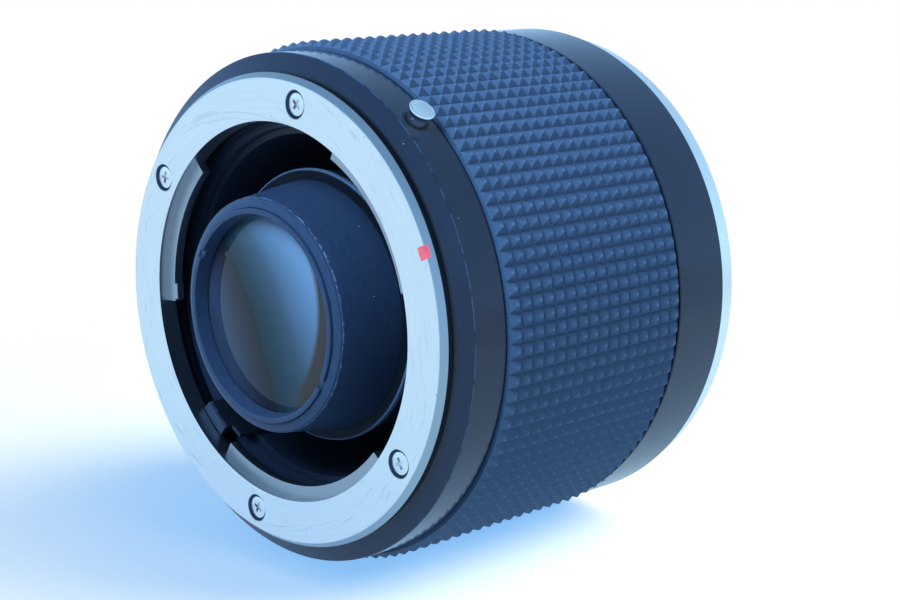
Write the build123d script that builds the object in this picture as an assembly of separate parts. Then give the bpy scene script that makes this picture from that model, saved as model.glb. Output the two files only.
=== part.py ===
from build123d import *
import math
import os

# Camera teleconverter, lying on its side. Lengths are in millimetres and angles in degrees.
# The optical axis is Y: the lens side faces -Y, and the face that seats on the camera is at Y = 0.
# A depth is the distance behind the face that the lens seats on. Angles run from +X towards +Z.

# Clearances shared by all pieces
fit_gap = 0.05
face_gap = 0.04
running_gap = 0.08
seat_gap = 0.06
overrun = 1.0

# The bayonet, which is the same on both sides: ring in front, lugs behind
flange_gap = 51.4
throat_radius = 24.0
lug_height = 1.75
lug_front = 1.2
lug_thickness = 1.4
front_lug_angles = ((14.0, 65.0), (134.0, 185.0), (240.0, 318.5))
lug_pad_rise = 0.4
lug_pad_angle = 6.0
padded_lug = 1

# Front bayonet ring
ring_inset = 2.3
ring_bevel = 0.65
ring_rim = 0.85
ring_lip = 1.4
ring_register = 0.75
ring_spigot_wall = 1.4
index_angle = 22.7
index_length = 1.8
index_width = 1.6

# Bayonet spring plate behind the lugs
spring_sheet = 0.22
spring_finger_reach = 0.45
spring_finger_angle = 28.0

# Screws: countersunk ones in both flanges
screw_head_radius = 1.5
screw_radius = 0.85
screw_length = 4.6
screw_sink = 0.28
cross_width = 0.42
cross_length = 1.7
cross_depth = 0.5
ring_screw_inset = 1.4
ring_screw_axis_angle = 113.4
ring_screw_spread_angle = 33.0

# Front barrel with the plain band
step_inset = 0.1
step_height = 1.05
face_drop = 0.9
band_bevel = 0.15
band_wall = 2.2
band_tail = 2.9
barrel_shoulder = 1.7
barrel_thread = 3.9
spigot_wall = 1.3
lug_room = 0.6
lug_room_play = 0.35

# Rubber grip: rows of ridges over a sleeve
grip_play = 0.15
grip_floor = 1.1
grip_height = 0.75
grip_rows = 16

# Main barrel under the grip
main_shoulder = 1.0
main_wall = 2.0

# Rear barrel
rear_barrel_length = 8.95
rear_shoulder = 1.45
rear_bevel = 0.25
rear_spigot = 4.4
rear_spigot_wall = 1.4
rear_web = 3.35

# Grub screws that lock the barrels together, under the rubber
grub_radius = 0.8
grub_angles = (0.0, 120.0, 240.0)
grub_inset = 2.0

# Rear bayonet
rear_flange = 3.05
rear_flange_inset = 0.85
rear_flange_bevel = 0.25
rear_tube_wall = 1.5
rear_tube_length = 5.0
rear_lug_centre_angles = (39.5, 141.5, 286.2)
rear_lug_span_angles = (52.0, 30.0, 52.0)
lug_play = 0.1
spring_play = 0.1
rear_screw_inset = 4.2
rear_screw_angles = (45.0, 135.0, 225.0, 315.0)
rear_index_inset = 1.8
rear_index_angle = 322.7
rear_index_radius = 0.8
rear_index_depth = 0.3

# Coupling sleeves and the fixed tube that carries them
stop_down_lip = 0.25
stop_down_wall = 0.83
stop_down_inset = 1.2
stop_down_end_step = 2.9
aperture_wall = 1.0
aperture_inset = 0.1
aperture_end_play = 0.75
carrier_wall = 1.2
carrier_inset = 0.2
carrier_flange = 1.5
carrier_flange_play = 0.1
carrier_screw_inset = 1.5
carrier_screw_angles = (0.0, 120.0, 240.0)
carrier_screw_head = 1.2
carrier_screw_radius = 0.7
carrier_head_height = 0.7
carrier_hole_floor = 0.15

# How far each sleeve turns from rest
stop_down_turn = 20.0
aperture_turn = 33.0

# Coupling levers, bent from sheet
lever_sheet = 0.5
front_lever_overlap = 1.1
aperture_front_lever_angles = (222.0, 233.0)
aperture_lever_inset = 1.0
aperture_lever_lip = 0.5
aperture_lip_play = 0.15
stop_down_front_lever_angles = (234.5, 239.5)
stop_down_lever_inset = 0.6
stop_down_lever_foot = 3.0
finger_drop = 3.1
finger_thickness = 0.8
finger_length = 3.1
finger_width_angle = 5.4
stop_down_finger_angle = 320.0
aperture_finger_angle = 240.0
stop_down_arm_step = 1.3
aperture_arm_play = 0.5
arm_thickness = 0.9
rear_foot = 2.2

# Guide screws, anchors and return springs of the sleeves
guide_radius = 0.8
guide_collar_radius = 1.0
guide_head_radius = 1.5
guide_head = 0.6
post_radius = 0.6
post_length = 2.8
post_knob_radius = 0.9
post_knob = 0.4
slot_play = 0.06
guide_pitch = 10.0
aperture_guide_angle = 130.0
aperture_anchor_angle = 158.0
stop_down_guide_inset = 5.05
stop_down_guide_angle = 210.0
stop_down_anchor_angle = 236.0
anchor_root = 0.8
spring_wire_radius = 0.17
spring_coil_radius = 0.75
spring_turns = 16

# Release button, its bush and clip
button_angle = 51.5
button_inset = 2.4
button_travel = 0.75
button_radius = 1.0
button_stem_radius = 1.25
button_head_radius = 1.65
button_reach = 1.1
button_tip_height = 0.35
button_tip_curve = 1.0
button_flare = 0.85
button_rim = 0.2
button_rim_round = 0.2
button_crown = 0.15
button_dish = 0.12
button_steps = 3
guide_bush_radius = 1.6
clip_radius = 1.45
clip_thickness = 0.43
clip_groove = 0.3

# Pocket in the front barrel, with the lock lever, its pin and its spring
pocket_floor = 0.66
pocket_reach = 1.6
pocket_rise = 2.7
pocket_angles = (45.0, 77.0)
lever_pivot_angle = 60.5
lever_play = 0.1
lever_thickness = 1.5
lever_hub_radius = 1.4
lever_nose_radius = 0.85
lever_tail_radius = 0.95
lever_tail_drop = 0.4
tooth_angle = 69.3
tooth_reach = 0.75
tooth_width = 1.9
tooth_play = 0.21
tooth_thickness = 1.3
tooth_slot_angles = (66.2, 76.0)
tooth_slot_drop = 0.5
lever_pin_radius = 0.8
lever_pin_root = 1.2
lever_pin_shoulder = 1.25
lever_pin_end = 0.29
lever_clip_radius = 1.4
lever_clip = 0.3
lever_wire_radius = 0.15
lever_coil_radius = 1.1
lever_coil_turns = 3
lever_coil_pitch = 0.32
lever_leg_reach = 3.5
lever_leg_drop = 0.46
lever_hook = 1.4
lever_stop_reach = 3.2
lever_stop_rise = 1.2

# Optical mount, the web that holds the lens tube, and the slots that the rear levers swing in
mount_seat = 2.2
slot_inner_play = 0.4
slot_outer_play = 0.5
slot_angle_play = 2.0

# Front cell: the cone in the throat
cell_rim_rise = 1.9
cell_nose_rise = 0.4
cell_rim_wall = 1.3
cell_taper = 1.3
cell_cone_drop = 0.8
cell_cone_overlap = 0.7
cell_edge_height = 0.6
cell_edge = 0.8
cell_floor = 2.2
cell_skirt = 4.6
cell_wall = 1.4

# Lens tube and the nut that clamps it
tube_inset = 0.1
tube_end = 1.2
tube_flange = 1.25
tube_flange_play = 0.3
tube_flange_height = 1.3
tube_thread_step = 0.9
tube_stop_lip = 0.7
tube_flare = 2.0
tube_flare_rise = 1.4
lock_ring = 1.3
spanner_width = 1.2
spanner_depth = 0.5
retaining_notch_angle = 150.0

# Glasses: thickness in the middle or at the edge, and each curve's radius in edge radii
front_glass_step = 0.2
front_glass_rise = 0.1
front_glass_middle = 5.2
front_glass_shares = (4.5, 9.0)
inner_glass_step = 0.7
second_glass_middle = 2.0
second_glass_shares = (-5.56, 2.78)
cement_gap = 0.02
third_glass_edge = 2.48
third_glass_back_share = -3.02
glass_air_gap = 3.5
fourth_glass_edge = 2.16
fourth_glass_shares = (4.76, -6.35)
rear_glass_middle = 2.0
rear_glass_shares = (-3.57, 11.9)

# Rings that hold the glasses
retaining_rise = 0.75
retaining_lip = 0.5
retaining_seat = 0.85
inner_ring_inset = 0.1
inner_ring_thickness = 0.9
inner_ring_wall = 0.9
rear_ring_inset = 4.2
rear_ring_thickness = 1.8
rear_ring_wall = 1.0

# Radii from the throat outwards, through the sleeves and the pocket to the band
lug_inner_radius = throat_radius - lug_height
spigot_radius = throat_radius + ring_spigot_wall
lug_room_radius = throat_radius + lug_room
ring_screw_circle = spigot_radius + ring_screw_inset
stop_down_inner_radius = lug_inner_radius - stop_down_lip
stop_down_outer_radius = stop_down_inner_radius + stop_down_wall
aperture_inner_radius = stop_down_outer_radius + running_gap
aperture_outer_radius = aperture_inner_radius + aperture_wall
carrier_inner_radius = aperture_outer_radius + running_gap
carrier_radius = carrier_inner_radius + carrier_wall
carrier_bore = carrier_radius + fit_gap
carrier_screw_circle = carrier_radius + carrier_screw_inset
pocket_inner_radius = carrier_bore + pocket_floor
lever_pivot_radius = pocket_inner_radius + lever_hub_radius + lever_play
lever_tail_circle = lever_pivot_radius - lever_tail_drop
tooth_tip_radius = throat_radius - tooth_reach
pocket_outer_radius = lever_pivot_radius + pocket_rise
tooth_slot_top = pocket_outer_radius - tooth_slot_drop
button_tip = pocket_outer_radius - button_reach
band_radius = pocket_outer_radius + band_wall
button_neck_end = band_radius + button_travel + fit_gap
button_flare_end = button_neck_end + button_flare
button_rim_end = button_flare_end + button_rim
button_top = button_rim_end + button_crown

# Radii of the barrels and flanges
ring_radius = band_radius - ring_inset
ring_body_radius = ring_radius - ring_lip
step_radius = ring_radius - step_inset
barrel_thread_radius = band_radius - barrel_shoulder
main_radius = barrel_thread_radius + main_shoulder
main_inner_radius = main_radius - main_wall
grip_valley_radius = main_radius + grip_floor
grip_peak_radius = grip_valley_radius + grip_height
rear_radius = main_radius + rear_shoulder
rear_spigot_radius = main_inner_radius - fit_gap
rear_bore_radius = main_inner_radius - rear_spigot_wall
carrier_flange_radius = rear_bore_radius - carrier_flange_play
rear_flange_radius = rear_radius - rear_flange_inset
rear_screw_circle = rear_flange_radius - rear_screw_inset
rear_index_circle = rear_flange_radius - rear_index_inset
rear_tube_radius = lug_inner_radius - lug_play
rear_tube_bore = rear_tube_radius - rear_tube_wall
rear_lug_radius = throat_radius - lug_play - fit_gap

# Radii from the sleeves inwards, through the rear levers and the tube to the glasses
finger_inner_radius = stop_down_inner_radius - finger_drop
slot_inner_radius = finger_inner_radius - slot_inner_play
slot_outer_radius = finger_inner_radius + finger_thickness + slot_outer_play
lens_tube_flange_radius = slot_inner_radius - tube_flange_play
lens_tube_radius = lens_tube_flange_radius - tube_flange_height
mount_bore = lens_tube_radius + fit_gap
tube_thread_radius = lens_tube_radius - tube_thread_step
cell_edge_radius = lens_tube_radius + cell_edge_height
cell_cone_radius = lens_tube_radius - cell_cone_drop
cell_rim_radius = cell_cone_radius - cell_taper
cell_thread_radius = lens_tube_radius - cell_wall
retaining_outer_radius = cell_rim_radius - cell_rim_wall
front_glass_radius = retaining_outer_radius - front_glass_step
retaining_inner_radius = front_glass_radius - retaining_lip
retaining_seat_radius = front_glass_radius - retaining_seat
inner_glass_radius = front_glass_radius - inner_glass_step
inner_ring_radius = inner_glass_radius - inner_ring_wall
rear_ring_radius = inner_glass_radius - rear_ring_wall
tube_stop_radius = inner_glass_radius - tube_stop_lip
tube_flare_radius = inner_glass_radius + tube_flare_rise

# Depths from the front: the ring, the band and the lever behind it
spigot_back = lug_front + lug_thickness
ring_body = ring_rim + ring_register
step_depth = ring_rim + step_height
button_depth = step_depth + face_drop + button_inset
pocket_front = button_depth - pocket_reach
band_back = button_depth + band_tail
grip_front = band_back + grip_play
main_front = band_back + fit_gap
front_grub_depth = band_back + grub_inset
spring_front = spigot_back + face_gap / 2
spring_back = spring_front + spring_sheet
tooth_front = spring_back + tooth_play
tooth_back = tooth_front + tooth_thickness
lug_room_back = tooth_back + lug_room_play
carrier_front = lug_room_back + carrier_inset
aperture_front = lug_room_back + aperture_inset
stop_down_front = aperture_front + stop_down_inset
aperture_lever_front = lug_front + aperture_lever_inset
stop_down_lever_front = aperture_lever_front + stop_down_lever_inset

# Depths from the back: the flange, the web and the ends of the sleeves
rear_back = flange_gap - rear_flange
rear_flange_front = rear_back + fit_gap
rear_tube_back = flange_gap + rear_tube_length
rear_lug_front = flange_gap + spring_back + spring_play
grip_back = rear_back - rear_barrel_length
rear_front = grip_back + fit_gap
rear_grub_depth = rear_front - grub_inset
carrier_flange_back = rear_back - rear_web - face_gap
carrier_back = rear_back - mount_seat
mount_front = carrier_back + fit_gap
mount_back = rear_flange_front - face_gap / 2
aperture_back = carrier_back - aperture_end_play
stop_down_back = aperture_back - stop_down_end_step
stop_down_arm = stop_down_back - stop_down_arm_step
aperture_arm = stop_down_back + aperture_arm_play
finger_back = flange_gap + finger_length
stop_down_guide_depth = rear_front - rear_spigot - stop_down_guide_inset
aperture_guide_depth = stop_down_guide_depth - guide_pitch
tube_back = flange_gap + tube_end

# Angles that follow from the ones above
slot_margin = math.degrees((guide_collar_radius + slot_play) / carrier_inner_radius)
ring_screw_angles = tuple(
    centre + side * ring_screw_spread_angle
    for centre in (ring_screw_axis_angle, ring_screw_axis_angle + 180)
    for side in (-1, 1)
)


def sag(share, edge, radius):
    """How far a glass's face at a radius lies behind its middle; a negative share bulges backwards."""
    curve = share * edge
    depth = abs(curve) - math.sqrt(curve**2 - radius**2)
    return math.copysign(depth, curve)


def front_sag(number, radius):
    """Sag of a face of the front glass, the front face (0) or the back face (1)."""
    return sag(front_glass_shares[number], front_glass_radius, radius)


def inner_sag(share, radius):
    """Sag of a face of one of the inner glasses."""
    return sag(share, inner_glass_radius, radius)


# Depths of the front glass and of the cell round it
cell_rim_depth = -cell_rim_rise
cell_nose = cell_rim_depth - cell_nose_rise
retaining_front = cell_rim_depth - retaining_rise
front_glass_front = cell_rim_depth - front_glass_rise
front_glass_back = front_glass_front + front_glass_middle
retaining_back = front_glass_front + front_sag(0, retaining_seat_radius) - seat_gap
cell_shoulder = front_glass_back + front_sag(1, front_glass_radius) + seat_gap
cell_thread_front = cell_shoulder + cell_floor
cell_cone_back = cell_thread_front + cell_cone_overlap
cell_back = cell_cone_back + cell_skirt
tube_front = cell_thread_front + tube_inset

# Depths of the inner glasses and of what they seat on, each from its neighbour's curve
inner_ring_front = tube_front + inner_ring_inset
inner_ring_back = inner_ring_front + inner_ring_thickness
second_glass_rim = inner_ring_back + seat_gap
second_glass_front = second_glass_rim - inner_sag(second_glass_shares[0], inner_glass_radius)
second_glass_back = second_glass_front + second_glass_middle
third_glass_shares = (second_glass_shares[1], third_glass_back_share)
third_glass_front = second_glass_back + cement_gap
third_glass_rim = third_glass_front + inner_sag(third_glass_shares[0], inner_glass_radius)
third_glass_back_rim = third_glass_rim + third_glass_edge
third_glass_back = third_glass_back_rim - inner_sag(third_glass_shares[1], inner_glass_radius)
spacer_front = third_glass_back + inner_sag(third_glass_shares[1], tube_stop_radius) + seat_gap
fourth_glass_front = third_glass_back + glass_air_gap
spacer_back = fourth_glass_front + inner_sag(fourth_glass_shares[0], tube_stop_radius) - seat_gap
fourth_glass_rim = fourth_glass_front + inner_sag(fourth_glass_shares[0], inner_glass_radius)
fourth_glass_back_rim = fourth_glass_rim + fourth_glass_edge
fourth_glass_back = fourth_glass_back_rim - inner_sag(fourth_glass_shares[1], inner_glass_radius)
tube_step = fourth_glass_back + inner_sag(fourth_glass_shares[1], tube_stop_radius) + seat_gap
rear_ring_back = tube_back - rear_ring_inset
rear_ring_front = rear_ring_back - rear_ring_thickness
rear_glass_rim = rear_ring_front - seat_gap
rear_glass_back = rear_glass_rim - inner_sag(rear_glass_shares[1], inner_glass_radius)
rear_glass_front = rear_glass_back - rear_glass_middle
rear_glass_front_rim = rear_glass_front + inner_sag(rear_glass_shares[0], inner_glass_radius)
tube_rear_step = rear_glass_front_rim - seat_gap


def section(outline):
    """Flat face from (radius, depth) corners."""
    corners = [(radius, depth - flange_gap) for radius, depth in outline]
    return make_face(Polyline(*corners, close=True))


def turned(outline):
    """Full turn of a section about the optical axis."""
    return revolve(section(outline), Axis.Y)


def sector(outline, low, high):
    """The same, between two angles only."""
    part_turn = revolve(section(outline), Axis.Y, revolution_arc=high - low)
    return part_turn.rotate(Axis.Y, -high)


def band(inner, outer, front, back):
    """Corners of a plain rectangle in a section."""
    return [(inner, front), (outer, front), (outer, back), (inner, back)]


def on_circle(radius, angle, depth):
    """Point at a radius, angle and depth."""
    turn = math.radians(angle)
    return Vector(radius * math.cos(turn), depth - flange_gap, radius * math.sin(turn))


def radial_plane(angle, depth):
    """Plane whose Z points outwards at an angle, with its origin on the optical axis."""
    return Plane(on_circle(0, angle, depth), (0, 1, 0), on_circle(1, angle, flange_gap))


def axial_plane(circle, angle, depth, side=1):
    """Plane whose Z points along the optical axis, away from the lens (1) or towards it (-1)."""
    outwards = on_circle(1, angle, flange_gap)
    return Plane(on_circle(circle, angle, depth), outwards, (0, side, 0))


def spun(profile):
    """Solid turned about its own Z from (radius, height) corners."""
    corners = [(radius, 0, height) for radius, height in profile]
    return revolve(make_face(Polyline(*corners, close=True)), Axis.Z)


def radial_pin(steps, angle, depth):
    """Stepped pin that points outwards: each step is (radius, from, to) along the radius."""
    profile = [(0, steps[0][1])]
    for radius, low, high in steps:
        profile += [(radius, low), (radius, high)]
    profile.append((0, steps[-1][2]))
    return radial_plane(angle, depth) * spun(profile)


def axial_hole(radius, circle, angle, front, back):
    """Plain cylinder along the optical axis, between two depths."""
    return axial_plane(circle, angle, front) * spun(
        [(0, 0), (radius, 0), (radius, back - front), (0, back - front)]
    )


def countersunk(play):
    """Countersunk screw body, sunk under Z = 0, or grown by the play to cut its own hole."""
    mouth = screw_head_radius + play + screw_sink
    shank = screw_radius + play
    if play:
        top = [(0, -overrun), (mouth, -overrun), (mouth, 0)]
    else:
        top = [(0, screw_sink), (screw_head_radius, screw_sink)]
    shaft = [(shank, mouth - shank), (shank, screw_length + play), (0, screw_length + play)]
    return spun(top + shaft)


def countersunk_screw():
    """Countersunk screw with a cross recess."""
    solid = countersunk(0)
    centre = (0, 0, screw_sink)
    for size in ((cross_length, cross_width), (cross_width, cross_length)):
        solid -= Pos(*centre) * Box(*size, cross_depth * 2)
    return solid


def make_front_bayonet_ring():
    """The ring that the lens locks into, with its recess for the index mark."""
    outline = [
        (throat_radius, 0),
        (ring_radius - ring_bevel, 0),
        (ring_radius, ring_rim),
        (ring_body_radius, ring_rim),
        (ring_body_radius, ring_body),
        (spigot_radius, ring_body),
        (spigot_radius, spigot_back),
        (throat_radius, spigot_back),
    ]
    ring = turned(outline)
    lug_root = (throat_radius + spigot_radius) / 2
    for number, (low, high) in enumerate(front_lug_angles):
        ring += sector(band(lug_inner_radius, lug_root, lug_front, spigot_back), low, high)
        if number == padded_lug:
            pad = band(lug_inner_radius - lug_pad_rise, lug_root, lug_front, spigot_back)
            ring += sector(pad, high - lug_pad_angle, high)
    for angle in ring_screw_angles:
        ring -= axial_plane(ring_screw_circle, angle, 0) * countersunk(fit_gap)
    return ring


def index_block():
    """Block that the index mark fills at the edge of the front ring."""
    middle = ring_radius - index_length / 2 + overrun / 2
    place = axial_plane(middle, index_angle, 0)
    return place * Box(index_length + overrun, index_width, ring_rim)


def make_front_screws():
    """Screws that hold the front ring."""
    return [
        axial_plane(ring_screw_circle, angle, 0) * countersunk_screw()
        for angle in ring_screw_angles
    ]


def make_bayonet_spring():
    """Thin spring plate with a finger behind each lug."""
    plate = turned(
        band((throat_radius + lug_room_radius) / 2, spigot_radius, spring_front, spring_back)
    )
    for low, high in front_lug_angles:
        centre = (low + high) / 2
        finger = band(lug_inner_radius + spring_finger_reach, lug_room_radius, spring_front, spring_back)
        plate += sector(finger, centre - spring_finger_angle / 2, centre + spring_finger_angle / 2)
    return plate


def make_front_barrel():
    """Black barrel behind the ring, with the pocket for the lock lever."""
    ledge = ring_body + face_gap / 2
    outline = [
        (spigot_radius + fit_gap, ledge),
        (ring_body_radius + fit_gap, ledge),
        (ring_body_radius + fit_gap, ring_rim + face_gap / 2),
        (step_radius, ring_rim + face_gap / 2),
        (step_radius, step_depth),
        (band_radius - band_bevel, step_depth + face_drop),
        (band_radius, step_depth + face_drop + band_bevel),
        (band_radius, band_back),
        (barrel_thread_radius, band_back),
        (barrel_thread_radius, band_back + barrel_thread),
        (barrel_thread_radius - spigot_wall, band_back + barrel_thread),
        (barrel_thread_radius - spigot_wall, band_back),
        (carrier_bore, band_back),
        (carrier_bore, lug_room_back),
        (lug_room_radius, lug_room_back),
        (lug_room_radius, spring_back + face_gap),
        (spigot_radius + fit_gap, spring_back + face_gap),
    ]
    barrel = turned(outline)
    pocket_back = band_back + barrel_thread + overrun
    pocket = band(pocket_inner_radius, pocket_outer_radius, pocket_front, pocket_back)
    barrel -= sector(pocket, *pocket_angles)
    slot = band(
        lug_room_radius - overrun, tooth_slot_top, tooth_front - running_gap, tooth_back + running_gap
    )
    barrel -= sector(slot, *tooth_slot_angles)
    for angle in ring_screw_angles:
        barrel -= axial_plane(ring_screw_circle, angle, 0) * countersunk(fit_gap)
    bush_hole = [(guide_bush_radius + fit_gap, pocket_outer_radius - overrun, band_radius + overrun)]
    barrel -= radial_pin(bush_hole, button_angle, button_depth)
    barrel -= axial_hole(
        lever_pin_radius + fit_gap,
        lever_pivot_radius,
        lever_pivot_angle,
        pocket_front - lever_pin_root,
        pocket_front + overrun,
    )
    for angle in grub_angles:
        hole = [(grub_radius + fit_gap, carrier_bore + overrun, main_radius + overrun)]
        barrel -= radial_pin(hole, angle, front_grub_depth)
    return barrel


def make_rubber_grip():
    """Rubber sleeve, with one ridge for each row of its pattern."""
    pitch = (grip_back - grip_front) / grip_rows
    outline = [(main_radius + fit_gap, grip_back), (main_radius + fit_gap, grip_front)]
    for row in range(grip_rows):
        start = grip_front + row * pitch
        outline += [(grip_valley_radius, start), (grip_peak_radius, start + pitch / 2)]
    outline.append((grip_valley_radius, grip_back))
    return turned(outline)


def make_main_barrel():
    """Tube under the grip, which joins the front and rear barrels."""
    thread = barrel_thread_radius + fit_gap
    thread_back = band_back + barrel_thread + fit_gap
    barrel = turned(
        [
            (thread, main_front),
            (main_radius, main_front),
            (main_radius, grip_back),
            (main_inner_radius, grip_back),
            (main_inner_radius, thread_back),
            (thread, thread_back),
        ]
    )
    for depth in (front_grub_depth, rear_grub_depth):
        for angle in grub_angles:
            hole = [(grub_radius + fit_gap, main_inner_radius - overrun, main_radius + overrun)]
            barrel -= radial_pin(hole, angle, depth)
    return barrel


def make_rear_barrel():
    """Smooth rear barrel, with an inner web that takes the rear screws."""
    web_front = rear_back - rear_web
    barrel = turned(
        [
            (rear_bore_radius, rear_front - rear_spigot),
            (rear_spigot_radius, rear_front - rear_spigot),
            (rear_spigot_radius, rear_front),
            (rear_radius - rear_bevel, rear_front),
            (rear_radius, rear_front + rear_bevel),
            (rear_radius, rear_back - rear_bevel),
            (rear_radius - rear_bevel, rear_back),
            (carrier_bore, rear_back),
            (carrier_bore, web_front),
            (rear_bore_radius, web_front),
        ]
    )
    for angle in rear_screw_angles:
        barrel -= axial_plane(rear_screw_circle, angle, flange_gap, -1) * countersunk(fit_gap)
    for angle in carrier_screw_angles:
        barrel -= axial_hole(
            carrier_screw_radius + fit_gap,
            carrier_screw_circle,
            angle,
            web_front - overrun,
            rear_back - carrier_hole_floor,
        )
    for angle in grub_angles:
        hole = [(grub_radius + fit_gap, rear_bore_radius - overrun, main_radius + overrun)]
        barrel -= radial_pin(hole, angle, rear_grub_depth)
    return barrel


def make_grub_screws():
    """Set screws through the main barrel into its neighbours, all under the rubber."""
    screws = []
    inner_ends = (
        (front_grub_depth, barrel_thread_radius - spigot_wall + fit_gap),
        (rear_grub_depth, rear_bore_radius + fit_gap),
    )
    for depth, inner_end in inner_ends:
        for angle in grub_angles:
            steps = [(grub_radius, inner_end, main_radius - fit_gap)]
            screws.append(radial_pin(steps, angle, depth))
    return screws


def make_rear_bayonet():
    """Flange that seats on the camera, with the tube and its three outer lugs."""
    bayonet = turned(
        [
            (rear_tube_bore, rear_flange_front),
            (rear_flange_radius - rear_flange_bevel, rear_flange_front),
            (rear_flange_radius, rear_flange_front + rear_flange_bevel),
            (rear_flange_radius, flange_gap - rear_flange_bevel),
            (rear_flange_radius - rear_flange_bevel, flange_gap),
            (rear_tube_radius, flange_gap),
            (rear_tube_radius, rear_tube_back - rear_flange_bevel),
            (rear_tube_radius - rear_flange_bevel, rear_tube_back),
            (rear_tube_bore, rear_tube_back),
        ]
    )
    lug_root = (rear_tube_bore + rear_tube_radius) / 2
    for centre, span in zip(rear_lug_centre_angles, rear_lug_span_angles):
        lug = band(lug_root, rear_lug_radius, rear_lug_front, rear_lug_front + lug_thickness)
        bayonet += sector(lug, centre - span / 2, centre + span / 2)
    for angle in rear_screw_angles:
        bayonet -= axial_plane(rear_screw_circle, angle, flange_gap, -1) * countersunk(fit_gap)
    bayonet -= axial_hole(
        rear_index_radius + fit_gap,
        rear_index_circle,
        rear_index_angle,
        flange_gap - rear_index_depth,
        flange_gap + overrun,
    )
    return bayonet


def make_rear_screws():
    """Screws that hold the rear bayonet."""
    return [
        axial_plane(rear_screw_circle, angle, flange_gap, -1) * countersunk_screw()
        for angle in rear_screw_angles
    ]


def make_camera_index_mark():
    """Round index mark in the rear flange."""
    front = flange_gap - rear_index_depth
    return axial_hole(
        rear_index_radius, rear_index_circle, rear_index_angle, front, flange_gap - screw_sink
    )


def guide_slot(inner, outer, depth, low, high):
    """Curved slot through a sleeve wall that a guide screw slides in."""
    half = guide_collar_radius + slot_play
    slot = band(inner - running_gap, outer + running_gap, depth - half, depth + half)
    return sector(slot, low - slot_margin, high + slot_margin)


def make_sleeve_carrier():
    """Fixed tube in which both sleeves turn."""
    flange_front = carrier_flange_back - carrier_flange
    carrier = turned(
        [
            (carrier_inner_radius, carrier_front),
            (carrier_radius, carrier_front),
            (carrier_radius, flange_front),
            (carrier_flange_radius, flange_front),
            (carrier_flange_radius, carrier_flange_back),
            (carrier_radius, carrier_flange_back),
            (carrier_radius, carrier_back),
            (carrier_inner_radius, carrier_back),
        ]
    )
    wall = (carrier_inner_radius, carrier_radius)
    carrier -= guide_slot(
        *wall, aperture_guide_depth, aperture_guide_angle - aperture_turn, aperture_guide_angle
    )
    carrier -= guide_slot(
        *wall, stop_down_guide_depth, stop_down_guide_angle - stop_down_turn, stop_down_guide_angle
    )
    for angle in carrier_screw_angles:
        carrier -= axial_hole(
            carrier_screw_radius + fit_gap,
            carrier_screw_circle,
            angle,
            flange_front - overrun,
            carrier_flange_back + overrun,
        )
    hole = [(post_radius + fit_gap, carrier_radius - anchor_root, carrier_radius + overrun)]
    carrier -= radial_pin(hole, aperture_anchor_angle, aperture_guide_depth)
    carrier -= radial_pin(hole, stop_down_anchor_angle, stop_down_guide_depth)
    return carrier


def make_carrier_screws():
    """Cheese-head screws that hold the carrier to the rear barrel."""
    flange_front = carrier_flange_back - carrier_flange
    length = rear_web - carrier_head_height + carrier_flange
    screw = spun(
        [
            (0, 0),
            (carrier_screw_head, 0),
            (carrier_screw_head, carrier_head_height),
            (carrier_screw_radius, carrier_head_height),
            (carrier_screw_radius, length),
            (0, length),
        ]
    )
    screw -= Box(carrier_screw_head * 2 + overrun, cross_width, carrier_head_height)
    start = flange_front - carrier_head_height - face_gap
    return [
        axial_plane(carrier_screw_circle, angle, start) * screw for angle in carrier_screw_angles
    ]


def make_stop_down_sleeve():
    """Inner sleeve, which passes the camera's stop-down stroke to the lens."""
    sleeve = turned(
        band(stop_down_inner_radius, stop_down_outer_radius, stop_down_front, stop_down_back)
    )
    hole = [(guide_radius + fit_gap, stop_down_inner_radius - overrun, stop_down_outer_radius + overrun)]
    return sleeve - radial_pin(hole, stop_down_guide_angle, stop_down_guide_depth)


def make_aperture_sleeve():
    """Outer sleeve, which passes the lens's aperture setting to the camera."""
    sleeve = turned(
        band(aperture_inner_radius, aperture_outer_radius, aperture_front, aperture_back)
    )
    hole = [(guide_radius + fit_gap, aperture_inner_radius - overrun, aperture_outer_radius + overrun)]
    sleeve -= radial_pin(hole, aperture_guide_angle, aperture_guide_depth)
    return sleeve - guide_slot(
        aperture_inner_radius,
        aperture_outer_radius,
        stop_down_guide_depth,
        stop_down_guide_angle - stop_down_turn,
        stop_down_guide_angle + aperture_turn,
    )


def make_aperture_front_lever():
    """Sheet lever on the front of the aperture sleeve, with a lip turned outwards."""
    outer = aperture_inner_radius - face_gap
    inner = outer - lever_sheet
    back = aperture_front + front_lever_overlap
    lip_radius = throat_radius - aperture_lip_play
    lip_back = aperture_lever_front + aperture_lever_lip
    outline = [
        (inner, aperture_lever_front),
        (lip_radius, aperture_lever_front),
        (lip_radius, lip_back),
        (outer, lip_back),
        (outer, back),
        (inner, back),
    ]
    return sector(outline, *aperture_front_lever_angles)


def make_stop_down_front_lever():
    """Sheet lever on the front of the stop-down sleeve."""
    outer = stop_down_inner_radius - face_gap
    return sector(
        band(
            outer - lever_sheet,
            outer,
            stop_down_lever_front,
            stop_down_front + stop_down_lever_foot,
        ),
        *stop_down_front_lever_angles,
    )


def rear_lever(outer, arm_front, angle):
    """Lever from a sleeve's wall inwards and back through the optical mount, as a bent strip."""
    wall = outer - face_gap
    foot_front = arm_front - rear_foot
    finger_outer = finger_inner_radius + finger_thickness
    outline = [
        (finger_inner_radius, arm_front),
        (wall - lever_sheet, arm_front),
        (wall - lever_sheet, foot_front),
        (wall, foot_front),
        (wall, arm_front + arm_thickness),
        (finger_outer, arm_front + arm_thickness),
        (finger_outer, finger_back),
        (finger_inner_radius, finger_back),
    ]
    half = finger_width_angle / 2
    return sector(outline, angle - half, angle + half)


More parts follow.
